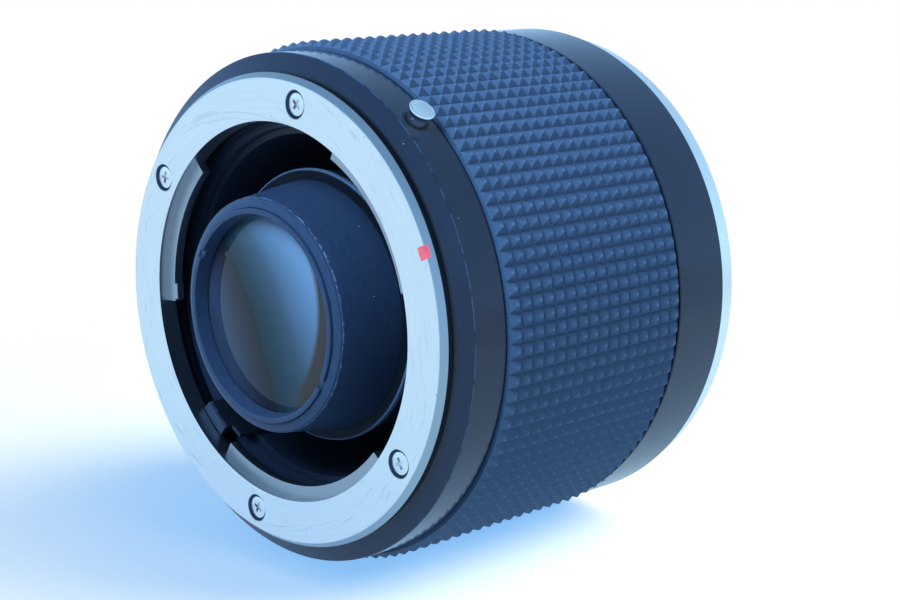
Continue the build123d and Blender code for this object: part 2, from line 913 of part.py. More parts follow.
def make_stop_down_rear_lever():
    """Lever that the camera's stop-down pin pushes."""
    return rear_lever(stop_down_inner_radius, stop_down_arm, stop_down_finger_angle)


def make_aperture_rear_lever():
    """Lever that turns the camera's aperture follower."""
    wall = aperture_inner_radius - face_gap
    finger_outer = finger_inner_radius + finger_thickness
    outline = [
        (finger_inner_radius, aperture_arm),
        (wall, aperture_arm),
        (wall, aperture_arm + rear_foot),
        (wall - lever_sheet, aperture_arm + rear_foot),
        (wall - lever_sheet, aperture_arm + arm_thickness),
        (finger_outer, aperture_arm + arm_thickness),
        (finger_outer, finger_back),
        (finger_inner_radius, finger_back),
    ]
    half = finger_width_angle / 2
    return sector(outline, aperture_finger_angle - half, aperture_finger_angle + half)


def guide_screw(root, wall_outer, angle, depth):
    """Guide screw: thread in the sleeve, collar in the slots, head and spring post outside."""
    head_start = carrier_radius + running_gap
    post_start = head_start + guide_head
    post_end = post_start + post_length
    steps = [
        (guide_radius, root + fit_gap, wall_outer),
        (guide_collar_radius, wall_outer + fit_gap, head_start),
        (guide_head_radius, head_start, post_start),
        (post_radius, post_start, post_end),
        (post_knob_radius, post_end, post_end + post_knob),
    ]
    return radial_pin(steps, angle, depth)


def make_stop_down_guide_screw():
    """Guide screw of the stop-down sleeve."""
    return guide_screw(
        stop_down_inner_radius, stop_down_outer_radius, stop_down_guide_angle, stop_down_guide_depth
    )


def make_aperture_guide_screw():
    """Guide screw of the aperture sleeve."""
    return guide_screw(
        aperture_inner_radius, aperture_outer_radius, aperture_guide_angle, aperture_guide_depth
    )


def make_spring_anchors():
    """Posts on the carrier that hold the fixed ends of both return springs."""
    post_end = carrier_radius + running_gap + guide_head + post_length
    steps = [
        (post_radius, carrier_radius - anchor_root + fit_gap, post_end),
        (post_knob_radius, post_end, post_end + post_knob),
    ]
    return [
        radial_pin(steps, aperture_anchor_angle, aperture_guide_depth),
        radial_pin(steps, stop_down_anchor_angle, stop_down_guide_depth),
    ]


def return_spring(start_angle, end_angle, depth):
    """Extension spring between two posts: a coil with a loop round each post."""
    height = carrier_radius + running_gap + guide_head + post_length / 2
    start = on_circle(height, start_angle, depth)
    end = on_circle(height, end_angle, depth)
    along = (end - start).normalized()
    loop_radius = post_radius + spring_wire_radius + fit_gap
    reach = loop_radius + spring_wire_radius * 2 + fit_gap
    coil_length = (end - start).length - reach * 2
    coil_path = Helix(coil_length / spring_turns, coil_length, spring_coil_radius)
    wire = Plane(coil_path @ 0, z_dir=coil_path % 0) * Circle(spring_wire_radius)
    coil = Plane(start + along * reach, z_dir=along) * sweep(wire, coil_path)
    loops = [
        radial_plane(angle, depth) * Pos(0, 0, height) * Torus(loop_radius, spring_wire_radius)
        for angle in (start_angle, end_angle)
    ]
    return [coil, *loops]


def make_aperture_spring():
    """Return spring of the aperture sleeve."""
    return return_spring(aperture_guide_angle, aperture_anchor_angle, aperture_guide_depth)


def make_stop_down_spring():
    """Return spring of the stop-down sleeve."""
    return return_spring(stop_down_guide_angle, stop_down_anchor_angle, stop_down_guide_depth)


def make_release_button():
    """Polished pin with a rounded tip inside and a flared, slightly dished head outside."""
    groove_back = pocket_outer_radius - fit_gap
    groove_front = groove_back - clip_thickness
    rim = button_head_radius - button_rim_round
    tip_turn = math.acos(1 - button_tip_height / button_tip_curve)
    turns = [tip_turn * step / button_steps for step in range(button_steps + 1)]
    tip = [
        (button_tip_curve * math.sin(turn), button_tip + button_tip_curve * (1 - math.cos(turn)))
        for turn in turns
    ]
    shares = [1 - step / button_steps for step in range(button_steps + 1)]
    dish = [(rim * share, button_top - button_dish * (1 - share**2)) for share in shares]
    side = [
        (button_radius, button_tip + button_tip_height),
        (button_radius, groove_front),
        (button_radius - clip_groove, groove_front),
        (button_radius - clip_groove, groove_back),
        (button_stem_radius, groove_back),
        (button_stem_radius, button_neck_end),
        (button_head_radius, button_flare_end),
        (button_head_radius, button_rim_end),
    ]
    return radial_plane(button_angle, button_depth) * spun([*tip, *side, *dish])


def make_button_clip():
    """Spring clip in the button's groove, which stops it at the bush."""
    top = pocket_outer_radius - fit_gap * 2
    bottom = top - clip_thickness + fit_gap * 2
    inner = button_radius - clip_groove + fit_gap
    ring = spun([(inner, bottom), (clip_radius, bottom), (clip_radius, top), (inner, top)])
    ring -= Pos(clip_radius, 0, top) * Box(clip_radius * 2, inner, clip_thickness * 2)
    return radial_plane(button_angle, button_depth) * ring


def make_button_bush():
    """Bush in the band that guides the button."""
    bore = button_stem_radius + fit_gap
    inner_end = pocket_outer_radius + fit_gap
    ring = spun(
        [
            (bore, inner_end),
            (guide_bush_radius, inner_end),
            (guide_bush_radius, band_radius),
            (bore, band_radius),
        ]
    )
    return radial_plane(button_angle, button_depth) * ring


def lever_point(circle, angle):
    """Point of the lever's flat outline, as X and Z."""
    place = on_circle(circle, angle, flange_gap)
    return (place.X, place.Z)


def flat_plate(sketch, front, back):
    """Extrudes a sketch drawn in X and Z between two depths."""
    drawing = Plane((0, front - flange_gap, 0), (1, 0, 0), (0, -1, 0)) * sketch
    return extrude(drawing, amount=back - front, dir=(0, 1, 0))


def lever_arm(start, start_radius, end, end_radius):
    """Arm between two rounded ends."""
    first = Pos(*start) * Circle(start_radius)
    last = Pos(*end) * Circle(end_radius)
    return make_hull([*first.edges(), *last.edges()])


def make_lock_lever():
    """Rocking lever: the button presses its nose, and its tooth leaves the lens's lug."""
    front = button_depth - lever_thickness / 2
    back = front + lever_thickness
    pivot = lever_point(lever_pivot_radius, lever_pivot_angle)
    nose_circle = button_tip - running_gap - lever_nose_radius
    nose = lever_point(nose_circle, button_angle)
    tail = lever_point(lever_tail_circle, tooth_angle)
    plate = lever_arm(pivot, lever_hub_radius, nose, lever_nose_radius)
    plate += lever_arm(pivot, lever_hub_radius, tail, lever_tail_radius)
    lever = flat_plate(plate, front, back)
    block_height = lever_tail_radius * 2
    block = Pos(0, 0, lever_tail_circle) * Box(back - tooth_front, tooth_width, block_height)
    lever += radial_plane(tooth_angle, (tooth_front + back) / 2) * block
    tooth_length = lever_tail_circle - tooth_tip_radius
    middle = (lever_tail_circle + tooth_tip_radius) / 2
    tooth = Pos(0, 0, middle) * Box(tooth_back - tooth_front, tooth_width, tooth_length)
    lever += radial_plane(tooth_angle, (tooth_front + tooth_back) / 2) * tooth
    bore = lever_pin_radius + fit_gap
    return lever - axial_hole(
        bore, lever_pivot_radius, lever_pivot_angle, front - overrun, back + overrun
    )


def lever_coil_depths():
    """Where the wire of the lever's spring starts and ends, at its middle."""
    front = button_depth + lever_thickness / 2 + fit_gap + lever_wire_radius
    return front, front + lever_coil_turns * lever_coil_pitch


def lever_clip_front():
    """Depth of the clip behind the lever's spring."""
    return lever_coil_depths()[1] + lever_wire_radius + fit_gap


def make_lever_pin():
    """Pivot pin of the lock lever, pressed into the front barrel."""
    shoulder_back = button_depth - lever_thickness / 2 - fit_gap
    front = pocket_front - lever_pin_root + fit_gap
    back = lever_clip_front() + lever_clip + lever_pin_end
    pin = spun(
        [
            (0, front),
            (lever_pin_radius, front),
            (lever_pin_radius, pocket_front + fit_gap),
            (lever_pin_shoulder, pocket_front + fit_gap),
            (lever_pin_shoulder, shoulder_back),
            (lever_pin_radius, shoulder_back),
            (lever_pin_radius, back),
            (0, back),
        ]
    )
    groove_front = lever_clip_front()
    groove = spun(
        [
            (lever_pin_radius - clip_groove, groove_front),
            (lever_pin_radius + overrun, groove_front),
            (lever_pin_radius + overrun, groove_front + lever_clip + fit_gap),
            (lever_pin_radius - clip_groove, groove_front + lever_clip + fit_gap),
        ]
    )
    return axial_plane(lever_pivot_radius, lever_pivot_angle, 0) * (pin - groove)


def make_lever_clip():
    """Clip that keeps the lock lever and its spring on the pin."""
    front = lever_clip_front()
    inner = lever_pin_radius - clip_groove + fit_gap
    ring = spun(
        [
            (inner, front),
            (lever_clip_radius, front),
            (lever_clip_radius, front + lever_clip),
            (inner, front + lever_clip),
        ]
    )
    mouth = Box(lever_clip_radius * 2, inner, (lever_clip + overrun) * 2)
    ring -= Pos(lever_clip_radius, 0, front) * mouth
    return axial_plane(lever_pivot_radius, lever_pivot_angle, 0) * ring


def rod(start, end, radius):
    """Straight round bar between two points."""
    along = end - start
    bar = spun([(0, 0), (radius, 0), (radius, along.length), (0, along.length)])
    return Plane(start, z_dir=along) * bar


def make_lever_spring():
    """Torsion spring round the pin: one leg hooks over the lever's tail, the other stops on the pocket."""
    front, back = lever_coil_depths()
    path = Helix(lever_coil_pitch, back - front, lever_coil_radius)
    wire = Plane(path @ 0, z_dir=path % 0) * Circle(lever_wire_radius)
    start = Vector(lever_coil_radius, 0, 0)
    end = start + Vector(0, 0, back - front)
    hook = Vector(lever_coil_radius - lever_leg_drop, -lever_leg_reach, 0)
    stop = Vector(lever_coil_radius + lever_stop_rise, lever_stop_reach, back - front)
    gap = lever_wire_radius + fit_gap
    legs = [
        rod(start + (hook - start).normalized() * gap, hook, lever_wire_radius),
        rod(hook - Vector(0, 0, gap), hook - Vector(0, 0, lever_hook), lever_wire_radius),
        rod(end + (stop - end).normalized() * gap, stop, lever_wire_radius),
    ]
    place = axial_plane(lever_pivot_radius, lever_pivot_angle, front)
    return [place * piece for piece in (sweep(wire, path), *legs)]


def make_optical_mount():
    """Web that holds the lens tube, with slots in which the rear levers swing."""
    web = turned(band(mount_bore, carrier_radius, mount_front, mount_back))
    slot = band(slot_inner_radius, slot_outer_radius, mount_front - overrun, mount_back + overrun)
    margin = finger_width_angle / 2 + slot_angle_play
    for angle, turn in (
        (stop_down_finger_angle, stop_down_turn),
        (aperture_finger_angle, aperture_turn),
    ):
        web -= sector(slot, angle - turn - margin, angle + margin)
    return web


def make_front_cell():
    """Cone in the throat that holds the front glass."""
    glass_bore = front_glass_radius + fit_gap
    ring_bore = retaining_outer_radius + fit_gap
    ring_back = retaining_back + face_gap
    return turned(
        [
            (ring_bore, cell_nose),
            (cell_rim_radius, cell_rim_depth),
            (cell_cone_radius, cell_cone_back),
            (cell_edge_radius, cell_cone_back),
            (cell_edge_radius, cell_cone_back + cell_edge),
            (lens_tube_radius, cell_cone_back + cell_edge),
            (lens_tube_radius, cell_back),
            (cell_thread_radius, cell_back),
            (cell_thread_radius, cell_thread_front),
            (retaining_seat_radius, cell_thread_front),
            (retaining_seat_radius, cell_shoulder),
            (glass_bore, cell_shoulder),
            (glass_bore, ring_back),
            (ring_bore, ring_back),
        ]
    )


def make_front_retaining_ring():
    """Threaded ring in front of the front glass, with two spanner notches."""
    ring = turned(
        [
            (retaining_inner_radius, retaining_front),
            (retaining_outer_radius, retaining_front),
            (retaining_outer_radius, retaining_back),
            (retaining_seat_radius, retaining_back),
        ]
    )
    notches = spanner_notches(retaining_outer_radius, retaining_front)
    return ring - Rot(0, -retaining_notch_angle, 0) * notches


def spanner_notches(radius, face):
    """Block that cuts two notches across a ring's face."""
    middle = face - flange_gap
    return Pos(0, middle, 0) * Box(radius * 2 + overrun, spanner_depth * 2, spanner_width)


def make_lens_tube():
    """Tube that holds the inner glasses and passes through the optical mount."""
    inner_bore = inner_glass_radius + fit_gap
    thread = cell_thread_radius - fit_gap
    flange_back = mount_front - face_gap
    return turned(
        [
            (inner_bore, tube_front),
            (thread, tube_front),
            (thread, cell_back + fit_gap),
            (lens_tube_radius, cell_back + fit_gap),
            (lens_tube_radius, flange_back - tube_flange),
            (lens_tube_flange_radius, flange_back - tube_flange),
            (lens_tube_flange_radius, flange_back),
            (lens_tube_radius, flange_back),
            (lens_tube_radius, mount_back),
            (tube_thread_radius, mount_back),
            (tube_thread_radius, tube_back),
            (tube_flare_radius, tube_back),
            (inner_bore, tube_back - tube_flare),
            (inner_bore, tube_rear_step),
            (tube_stop_radius, tube_rear_step),
            (tube_stop_radius, tube_step),
            (inner_bore, tube_step),
        ]
    )


def make_tube_lock_ring():
    """Nut behind the optical mount that clamps the lens tube."""
    front = mount_back + face_gap
    ring = turned(
        band(tube_thread_radius + fit_gap, lens_tube_flange_radius, front, front + lock_ring)
    )
    return ring - spanner_notches(lens_tube_flange_radius, front + lock_ring)


def make_glass(radius, faces, shares):
    """Glass between two spherical faces."""
    edges = []
    for face, share in zip(faces, shares):
        middle = face + sag(share, radius, radius / 2) - flange_gap
        rim = face + sag(share, radius, radius) - flange_gap
        edges.append(((0, face - flange_gap), (radius / 2, middle), (radius, rim)))
    front, back = edges
    outline = [
        ThreePointArc(*front),
        Line(front[2], back[2]),
        ThreePointArc(*reversed(back)),
        Line(back[0], front[0]),
    ]
    return revolve(make_face(outline), Axis.Y)


parts = {
    "front_bayonet_ring": make_front_bayonet_ring() - index_block(),
    "lens_index_mark": make_front_bayonet_ring() & index_block(),
    "front_bayonet_screws": make_front_screws(),
    "bayonet_spring": make_bayonet_spring(),
    "front_barrel": make_front_barrel(),
    "rubber_grip": make_rubber_grip(),
    "main_barrel": make_main_barrel(),
    "rear_barrel": make_rear_barrel(),
    "barrel_set_screws": make_grub_screws(),
    "rear_bayonet": make_rear_bayonet(),
    "rear_bayonet_screws": make_rear_screws(),
    "camera_index_mark": make_camera_index_mark(),
    "sleeve_carrier": make_sleeve_carrier(),
    "carrier_screws": make_carrier_screws(),
    "spring_anchors": make_spring_anchors(),
    "stop_down_sleeve": make_stop_down_sleeve(),
    "stop_down_front_lever": make_stop_down_front_lever(),
    "stop_down_rear_lever": make_stop_down_rear_lever(),
    "stop_down_guide_screw": make_stop_down_guide_screw(),
    "stop_down_spring": make_stop_down_spring(),
    "aperture_sleeve": make_aperture_sleeve(),
    "aperture_front_lever": make_aperture_front_lever(),
    "aperture_rear_lever": make_aperture_rear_lever(),
    "aperture_guide_screw": make_aperture_guide_screw(),
    "aperture_spring": make_aperture_spring(),
    "release_button": make_release_button(),
    "button_clip": make_button_clip(),
    "button_bush": make_button_bush(),
    "lock_lever": make_lock_lever(),
    "lock_lever_pin": make_lever_pin(),
    "lock_lever_clip": make_lever_clip(),
    "lock_lever_spring": make_lever_spring(),
    "optical_mount": make_optical_mount(),
    "front_cell": make_front_cell(),
    "front_retaining_ring": make_front_retaining_ring(),
    "lens_tube": make_lens_tube(),
    "tube_lock_ring": make_tube_lock_ring(),
    "front_glass": make_glass(
        front_glass_radius, (front_glass_front, front_glass_back), front_glass_shares
    ),
    "inner_retaining_ring": turned(
        band(inner_ring_radius, inner_glass_radius, inner_ring_front, inner_ring_back)
    ),
    "second_glass": make_glass(
        inner_glass_radius, (second_glass_front, second_glass_back), second_glass_shares
    ),
    "third_glass": make_glass(
        inner_glass_radius, (third_glass_front, third_glass_back), third_glass_shares
    ),
    "glass_spacer": turned(
        band(tube_stop_radius, inner_glass_radius, spacer_front, spacer_back)
    ),
    "fourth_glass": make_glass(
        inner_glass_radius, (fourth_glass_front, fourth_glass_back), fourth_glass_shares
    ),
    "rear_glass": make_glass(
        inner_glass_radius, (rear_glass_front, rear_glass_back), rear_glass_shares
    ),
    "rear_retaining_ring": turned(
        band(rear_ring_radius, inner_glass_radius, rear_ring_front, rear_ring_back)
    ),
}

os.makedirs("parts", exist_ok=True)
for name, shape in parts.items():
    solids = shape if isinstance(shape, list) else [shape]
    pieces = [solid for piece in solids for solid in piece.solids()]
    export_step(Compound(children=pieces) if len(pieces) > 1 else pieces[0], f"parts/{name}.step")
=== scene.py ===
import bmesh
import bpy
import math
from mathutils import Matrix, Vector


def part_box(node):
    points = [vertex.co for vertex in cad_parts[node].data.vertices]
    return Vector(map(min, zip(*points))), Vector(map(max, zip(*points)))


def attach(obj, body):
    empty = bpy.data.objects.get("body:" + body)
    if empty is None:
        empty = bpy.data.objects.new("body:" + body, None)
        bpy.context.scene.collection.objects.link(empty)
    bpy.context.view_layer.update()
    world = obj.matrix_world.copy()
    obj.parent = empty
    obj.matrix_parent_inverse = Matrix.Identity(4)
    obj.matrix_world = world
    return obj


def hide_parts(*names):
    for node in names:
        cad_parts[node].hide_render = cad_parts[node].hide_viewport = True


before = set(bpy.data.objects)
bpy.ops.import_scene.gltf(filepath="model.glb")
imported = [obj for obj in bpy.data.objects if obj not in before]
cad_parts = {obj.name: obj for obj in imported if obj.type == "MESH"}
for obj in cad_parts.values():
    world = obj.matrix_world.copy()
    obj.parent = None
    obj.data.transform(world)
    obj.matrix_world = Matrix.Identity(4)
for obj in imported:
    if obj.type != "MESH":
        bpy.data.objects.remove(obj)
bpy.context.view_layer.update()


# Main barrel and the set screws that lock its neighbours to it.
# A plain tube turned from aluminium bar and anodised matt black. The rubber covers it, so it
# keeps the shape it has in the frame and only gets its finish here.

mm = 0.001
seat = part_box("front_bayonet_ring")[0].y


def linear(colour):
    """Linear RGBA of an sRGB hex colour."""
    parts = [int(colour[place : place + 2], 16) / 255 for place in (1, 3, 5)]
    return (*[p / 12.92 if p <= 0.04045 else ((p + 0.055) / 1.055) ** 2.4 for p in parts], 1.0)


def feed(material, socket, value):
    """Gives a socket a figure, a hex colour, or the output of a node."""
    if isinstance(value, bpy.types.Node):
        value = next(output for output in value.outputs if output.enabled)
    if isinstance(value, bpy.types.NodeSocket):
        material.node_tree.links.new(value, socket)
    else:
        socket.default_value = linear(value) if isinstance(value, str) else value


def add(material, kind, inputs=None, **settings):
    """Adds a shader node with its settings, and feeds its inputs."""
    made = material.node_tree.nodes.new("ShaderNode" + kind)
    for name, value in settings.items():
        setattr(made, name, value)
    for name, value in (inputs or {}).items():
        feed(material, made.inputs[name], value)
    return made


def from_axis(material):
    """The point that is shaded, its distance from the optical axis and its depth along it."""
    place = add(material, "TexCoord").outputs["Object"]
    parts = add(material, "SeparateXYZ", {0: place}).outputs
    aside = add(material, "Math", {0: parts["X"], 1: parts["X"]}, operation="MULTIPLY")
    squares = add(material, "Math", {0: parts["Z"], 1: parts["Z"], 2: aside}, operation="MULTIPLY_ADD")
    radius = add(material, "Math", {0: squares}, operation="SQRT")
    return place, radius, parts["Y"]


def drawn_round(material, share):
    """Place for turning marks: it changes only by a share of the way round the optical axis."""
    place, radius, depth = from_axis(material)
    slow = add(material, "VectorMath", {0: place, "Scale": share}, operation="SCALE")
    across = add(material, "CombineXYZ", {"X": radius, "Y": depth})
    return add(material, "VectorMath", {0: slow, 1: across})


def grained(name, colours, roughness, grain, bump=0.0, streak=0.0, **constants):
    """Material whose colour, roughness and height follow one noise.

    Colours and roughness are pairs, and the grain and bump are in millimetres. A streak draws
    the noise out round the optical axis into turning marks that many millimetres long."""
    material = bpy.data.materials.new(name)
    material.use_nodes = True
    shader = material.node_tree.nodes["Principled BSDF"]
    for socket, value in constants.items():
        feed(material, shader.inputs[socket.replace("_", " ")], value)
    place = drawn_round(material, grain / streak) if streak else from_axis(material)[0]
    inputs = {"Vector": place, "Scale": 1 / (grain * mm), "Detail": 3.0, "Roughness": 0.6}
    noise = add(material, "TexNoise", inputs)
    share = add(material, "MapRange", {0: noise, 1: 0.3, 2: 0.7})
    colour = add(material, "Mix", {0: share, 6: colours[0], 7: colours[1]}, data_type="RGBA")
    rough = add(material, "MapRange", {0: noise, 1: 0.3, 2: 0.7, 3: roughness[0], 4: roughness[1]})
    feed(material, shader.inputs["Base Color"], colour)
    feed(material, shader.inputs["Roughness"], rough)
    if bump:
        height = add(material, "Bump", {"Strength": 1.0, "Distance": bump * mm, "Height": noise})
        feed(material, shader.inputs["Normal"], height)
    return material


def keep(material, *names, crisp=28.0):
    """CAD nodes as they are, with a finish, and with smooth faces between crisp edges."""
    for name in names:
        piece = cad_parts[name]
        piece.data.materials.clear()
        piece.data.materials.append(material)
        piece.data.polygons.foreach_set("use_smooth", [True] * len(piece.data.polygons))
        piece.modifiers.new("joined", "WELD").merge_threshold = 0.001 * mm
        piece.modifiers.new("crisp", "EDGE_SPLIT").split_angle = math.radians(crisp)


# Matt black anodising on turned aluminium: very dark blue-black, with a faint silky grain. The
# turning marks are drawn coarser than they are, here and on every turned piece, so that they show.
matt_anodised = grained(
    "matt_black_anodised_aluminium", ("#1a2333", "#232e42"), (0.42, 0.55), 0.25, bump=0.0015, streak=3.0
)
# Bright steel, ground and slightly dulled by handling.
bright_steel = grained("ground_steel", ("#aab2ba", "#d3d9de"), (0.2, 0.38), 0.12, bump=0.001, Metallic=1.0)
keep(matt_anodised, "main_barrel")
keep(bright_steel, "barrel_set_screws")


# Rear barrel: the smooth collar behind the rubber.
# Turned from aluminium, with fine turning marks under a semi-gloss black coat, and screwed over
# the main barrel. Its inner web takes the screws of the rear bayonet and of the sleeve carrier.

rear_low, rear_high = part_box("rear_barrel")
grip_low, grip_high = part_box("rubber_grip")
carrier_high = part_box("sleeve_carrier")[1]
rear_radius = rear_high.x / mm
rear_back = (rear_high.y - seat) / mm
rear_spigot_front = (rear_low.y - seat) / mm
rear_front = (grip_high.y - seat) / mm + 0.05
rear_spigot_radius = 29.55
rear_bore = carrier_high.x / mm + 0.1
rear_round = 0.22
web_thickness = 3.35
web_front = rear_back - web_thickness
carrier_bore = 25.24
carrier_screw_circle = 26.69
carrier_hole = (0.75, 3.2)
flange_face = 51.4
rear_screw_circle = 28.0
screw_head_hole = 1.83
screw_shank_hole = 0.9
screw_hole_taper = 0.93
screw_hole_depth = 4.7
overrun = 1.0
round_steps = 256


def outline_mesh(outline, turn=0.0):
    """Closed loop of (radius, depth) corners in millimetres, at an angle round the optical axis."""
    mesh = bmesh.new()
    corners = [mesh.verts.new((radius * mm, seat + depth * mm, 0)) for radius, depth in outline]
    for corner, following in zip(corners, corners[1:] + corners[:1]):
        mesh.edges.new((corner, following))
    matrix = Matrix.Rotation(-math.radians(turn), 3, "Y")
    bmesh.ops.rotate(mesh, verts=mesh.verts, matrix=matrix)
    return mesh


def turned(outline, steps=round_steps):
    """Full turn of an outline about the optical axis, as a lathe makes it."""
    mesh = outline_mesh(outline)
    profile = mesh.verts[:] + mesh.edges[:]
    bmesh.ops.spin(mesh, geom=profile, axis=(0, 1, 0), angle=math.tau, steps=steps, use_merge=True)
    bmesh.ops.recalc_face_normals(mesh, faces=mesh.faces)
    return mesh


def sector(outline, low, high, degrees_a_step=1.5):
    """The same between two angles, which run from +X towards +Z."""
    mesh = outline_mesh(outline, low)
    bmesh.ops.contextual_create(mesh, geom=mesh.edges)
    profile = mesh.verts[:] + mesh.edges[:] + mesh.faces[:]
    steps = max(2, round((high - low) / degrees_a_step))
    bmesh.ops.spin(mesh, geom=profile, axis=(0, -1, 0), angle=math.radians(high - low), steps=steps)
    bmesh.ops.recalc_face_normals(mesh, faces=mesh.faces)
    return mesh


def box_outline(inner, outer, front, back):
    """Corners of a plain rectangle."""
    return [(inner, front), (outer, front), (outer, back), (inner, back)]


def soften(mesh, width, least=25.0, segments=3):
    """Small rounds, of a width in millimetres, on every edge that turns sharply."""
    sharp = [
        edge
        for edge in mesh.edges
        if len(edge.link_faces) == 2 and edge.calc_face_angle() > math.radians(least)
    ]
    bmesh.ops.bevel(
        mesh,
        geom=sharp,
        offset=width * mm,
        segments=segments,
        profile=0.5,
        affect="EDGES",
        material=-1,
        clamp_overlap=True,
    )
    return mesh


def piece_of(mesh, name, material, body="housing"):
    """Object made from a bmesh, which rides on a body."""
    data = bpy.data.meshes.new(name)
    mesh.to_mesh(data)
    mesh.free()
    piece = bpy.data.objects.new(name, data)
    bpy.context.scene.collection.objects.link(piece)
    piece.data.materials.append(material)
    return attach(piece, body)


def cut(piece, *cutters, operation="DIFFERENCE"):
    """Takes the shapes of some bmeshes out of a piece, or joins them to it."""
    for cutter in cutters:
        tool = piece_of(cutter, "cutter", piece.data.materials[0])
        away = piece.modifiers.new("cut", "BOOLEAN")
        away.object = tool
        away.solver = "EXACT"
        away.operation = operation
        shaped = piece.evaluated_get(bpy.context.evaluated_depsgraph_get())
        data = bpy.data.meshes.new_from_object(shaped)
        piece.modifiers.clear()
        piece.data = data
        bpy.data.objects.remove(tool)
    return piece


def shade(piece, crisp=32.0):
    """Smooth faces between crisp edges, with the large flat faces kept flat."""
    mesh = bmesh.new()
    mesh.from_mesh(piece.data)
    for face in mesh.faces:
        face.smooth = True
    for edge in mesh.edges:
        edge.smooth = len(edge.link_faces) == 2 and edge.calc_face_angle() < math.radians(crisp)
    mesh.to_mesh(piece.data)
    mesh.free()
    piece.modifiers.new("even", "WEIGHTED_NORMAL").keep_sharp = True
    return piece


def along_axis(circle, angle, depth, facing=-1):
    """Matrix that stands a shape's Z along the optical axis, towards the lens (-1) or the camera."""
    turn = math.radians(angle)
    outwards = Vector((math.cos(turn), 0, math.sin(turn)))
    z = Vector((0, facing, 0))
    place = outwards * circle * mm + Vector((0, seat + depth * mm, 0))
    return Matrix.Translation(place) @ Matrix((outwards, z.cross(outwards), z)).transposed().to_4x4()


def spun(profile, place, steps=48):
    """Solid turned about its own Z from (radius, height) corners in millimetres, then placed."""
    mesh = bmesh.new()
    corners = [mesh.verts.new((radius * mm, 0, height * mm)) for radius, height in profile]
    edges = [mesh.edges.new(pair) for pair in zip(corners, corners[1:])]
    bmesh.ops.spin(
        mesh, geom=corners + edges, axis=(0, 0, 1), angle=math.tau, steps=steps, use_merge=True
    )
    bmesh.ops.remove_doubles(mesh, verts=mesh.verts, dist=0.0001 * mm)
    bmesh.ops.recalc_face_normals(mesh, faces=mesh.faces)
    bmesh.ops.transform(mesh, matrix=place, verts=mesh.verts)
    return mesh


def round_hole(place, radius, depth):
    """Shape of a plain hole, with Z pointing out of it."""
    return spun([(0, overrun), (radius, overrun), (radius, -depth), (0, -depth)], place)


def screw_hole(place):
    """Shape of the countersunk hole for one flange screw."""
    return spun(
        [(0, overrun), (screw_head_hole, overrun), (screw_head_hole, 0)]
        + [(screw_shank_hole, -screw_hole_taper), (screw_shank_hole, -screw_hole_depth)]
        + [(0, -screw_hole_depth)],
        place,
    )


rear_screw_places = [along_axis(rear_screw_circle, angle, flange_face, 1) for angle in (45, 135, 225, 315)]
carrier_screw_places = [along_axis(carrier_screw_circle, angle, web_front) for angle in (0, 120, 240)]
# Semi-gloss black over turned aluminium: broad soft highlights and hardly any grain.
satin_black = grained(
    "semi_gloss_black_aluminium",
    ("#111a29", "#162236"),
    (0.3, 0.4),
    0.3,
    bump=0.0008,
    streak=8.0,
    Specular_IOR_Level=0.1,
    Coat_Weight=0.9,
    Coat_Roughness=0.18,
    Coat_Tint="#c4deff",
    Specular_Tint="#b8d6ff",
)
rear_outline = [
    (rear_bore, rear_spigot_front),
    (rear_spigot_radius, rear_spigot_front),
    (rear_spigot_radius, rear_front),
    (rear_radius, rear_front),
    (rear_radius, rear_back),
    (carrier_bore, rear_back),
    (carrier_bore, web_front),
    (rear_bore, web_front),
]
rear_barrel = piece_of(
    soften(turned(rear_outline), rear_round), "rear_barrel_collar", satin_black
)
cut(
    rear_barrel,
    *[screw_hole(place) for place in rear_screw_places],
    *[round_hole(place, *carrier_hole) for place in carrier_screw_places],
)
shade(rear_barrel)
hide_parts("rear_barrel")


# Sleeve carrier, its screws and the two coupling sleeves that turn in it.
# Thin tubes of aluminium, anodised matt black so that they throw no light on the film, with
# bare steel guide screws, and spring wire between those and the posts on the carrier.

# Spring wire: darker than the ground steel, and drawn smooth.
spring_wire = grained("drawn_spring_steel", ("#7d858d", "#a4acb4"), (0.25, 0.4), 0.1, Metallic=1.0)
keep(matt_anodised, "sleeve_carrier", "stop_down_sleeve", "aperture_sleeve")
keep(bright_steel, "carrier_screws", "spring_anchors", "stop_down_guide_screw", "aperture_guide_screw")
keep(spring_wire, "stop_down_spring", "aperture_spring")


# Coupling levers: four strips of sheet steel, bent and welded to the sleeves.
# The lens pushes the front pair, which is blackened, and the bare rear pair works the camera.

lever_pale_depth = 2.9
lever_pale_fade = 0.4
lever_pale_wander = 0.9


def wear_and_painted_light(material, bright, roughness, *masks):
    """Lets another surface show through a finish where all its masks are 1; used for wear and dust, and for
    painted light and shade.
    """
    mask, *others = masks
    for other in others:
        mask = add(material, "Math", {0: mask, 1: other}, operation="MULTIPLY")
    shader = material.node_tree.nodes["Principled BSDF"]
    colour, rough = [shader.inputs[name].links[0].from_socket for name in ("Base Color", "Roughness")]
    colour = add(material, "Mix", {0: mask, 6: colour, 7: bright}, data_type="RGBA")
    feed(material, shader.inputs["Base Color"], colour)
    feed(material, shader.inputs["Roughness"], add(material, "Mix", {0: mask, 2: rough, 3: roughness}))


def near(material, value, middle, reach):
    """1 where a value is at a middle, falling to 0 a reach away; both in metres."""
    off = add(material, "Math", {0: value, 1: middle}, operation="SUBTRACT")
    off = add(material, "Math", {0: off}, operation="ABSOLUTE")
    return add(material, "MapRange", {0: off, 1: 0.0, 2: reach, 3: 1.0, 4: 0.0})


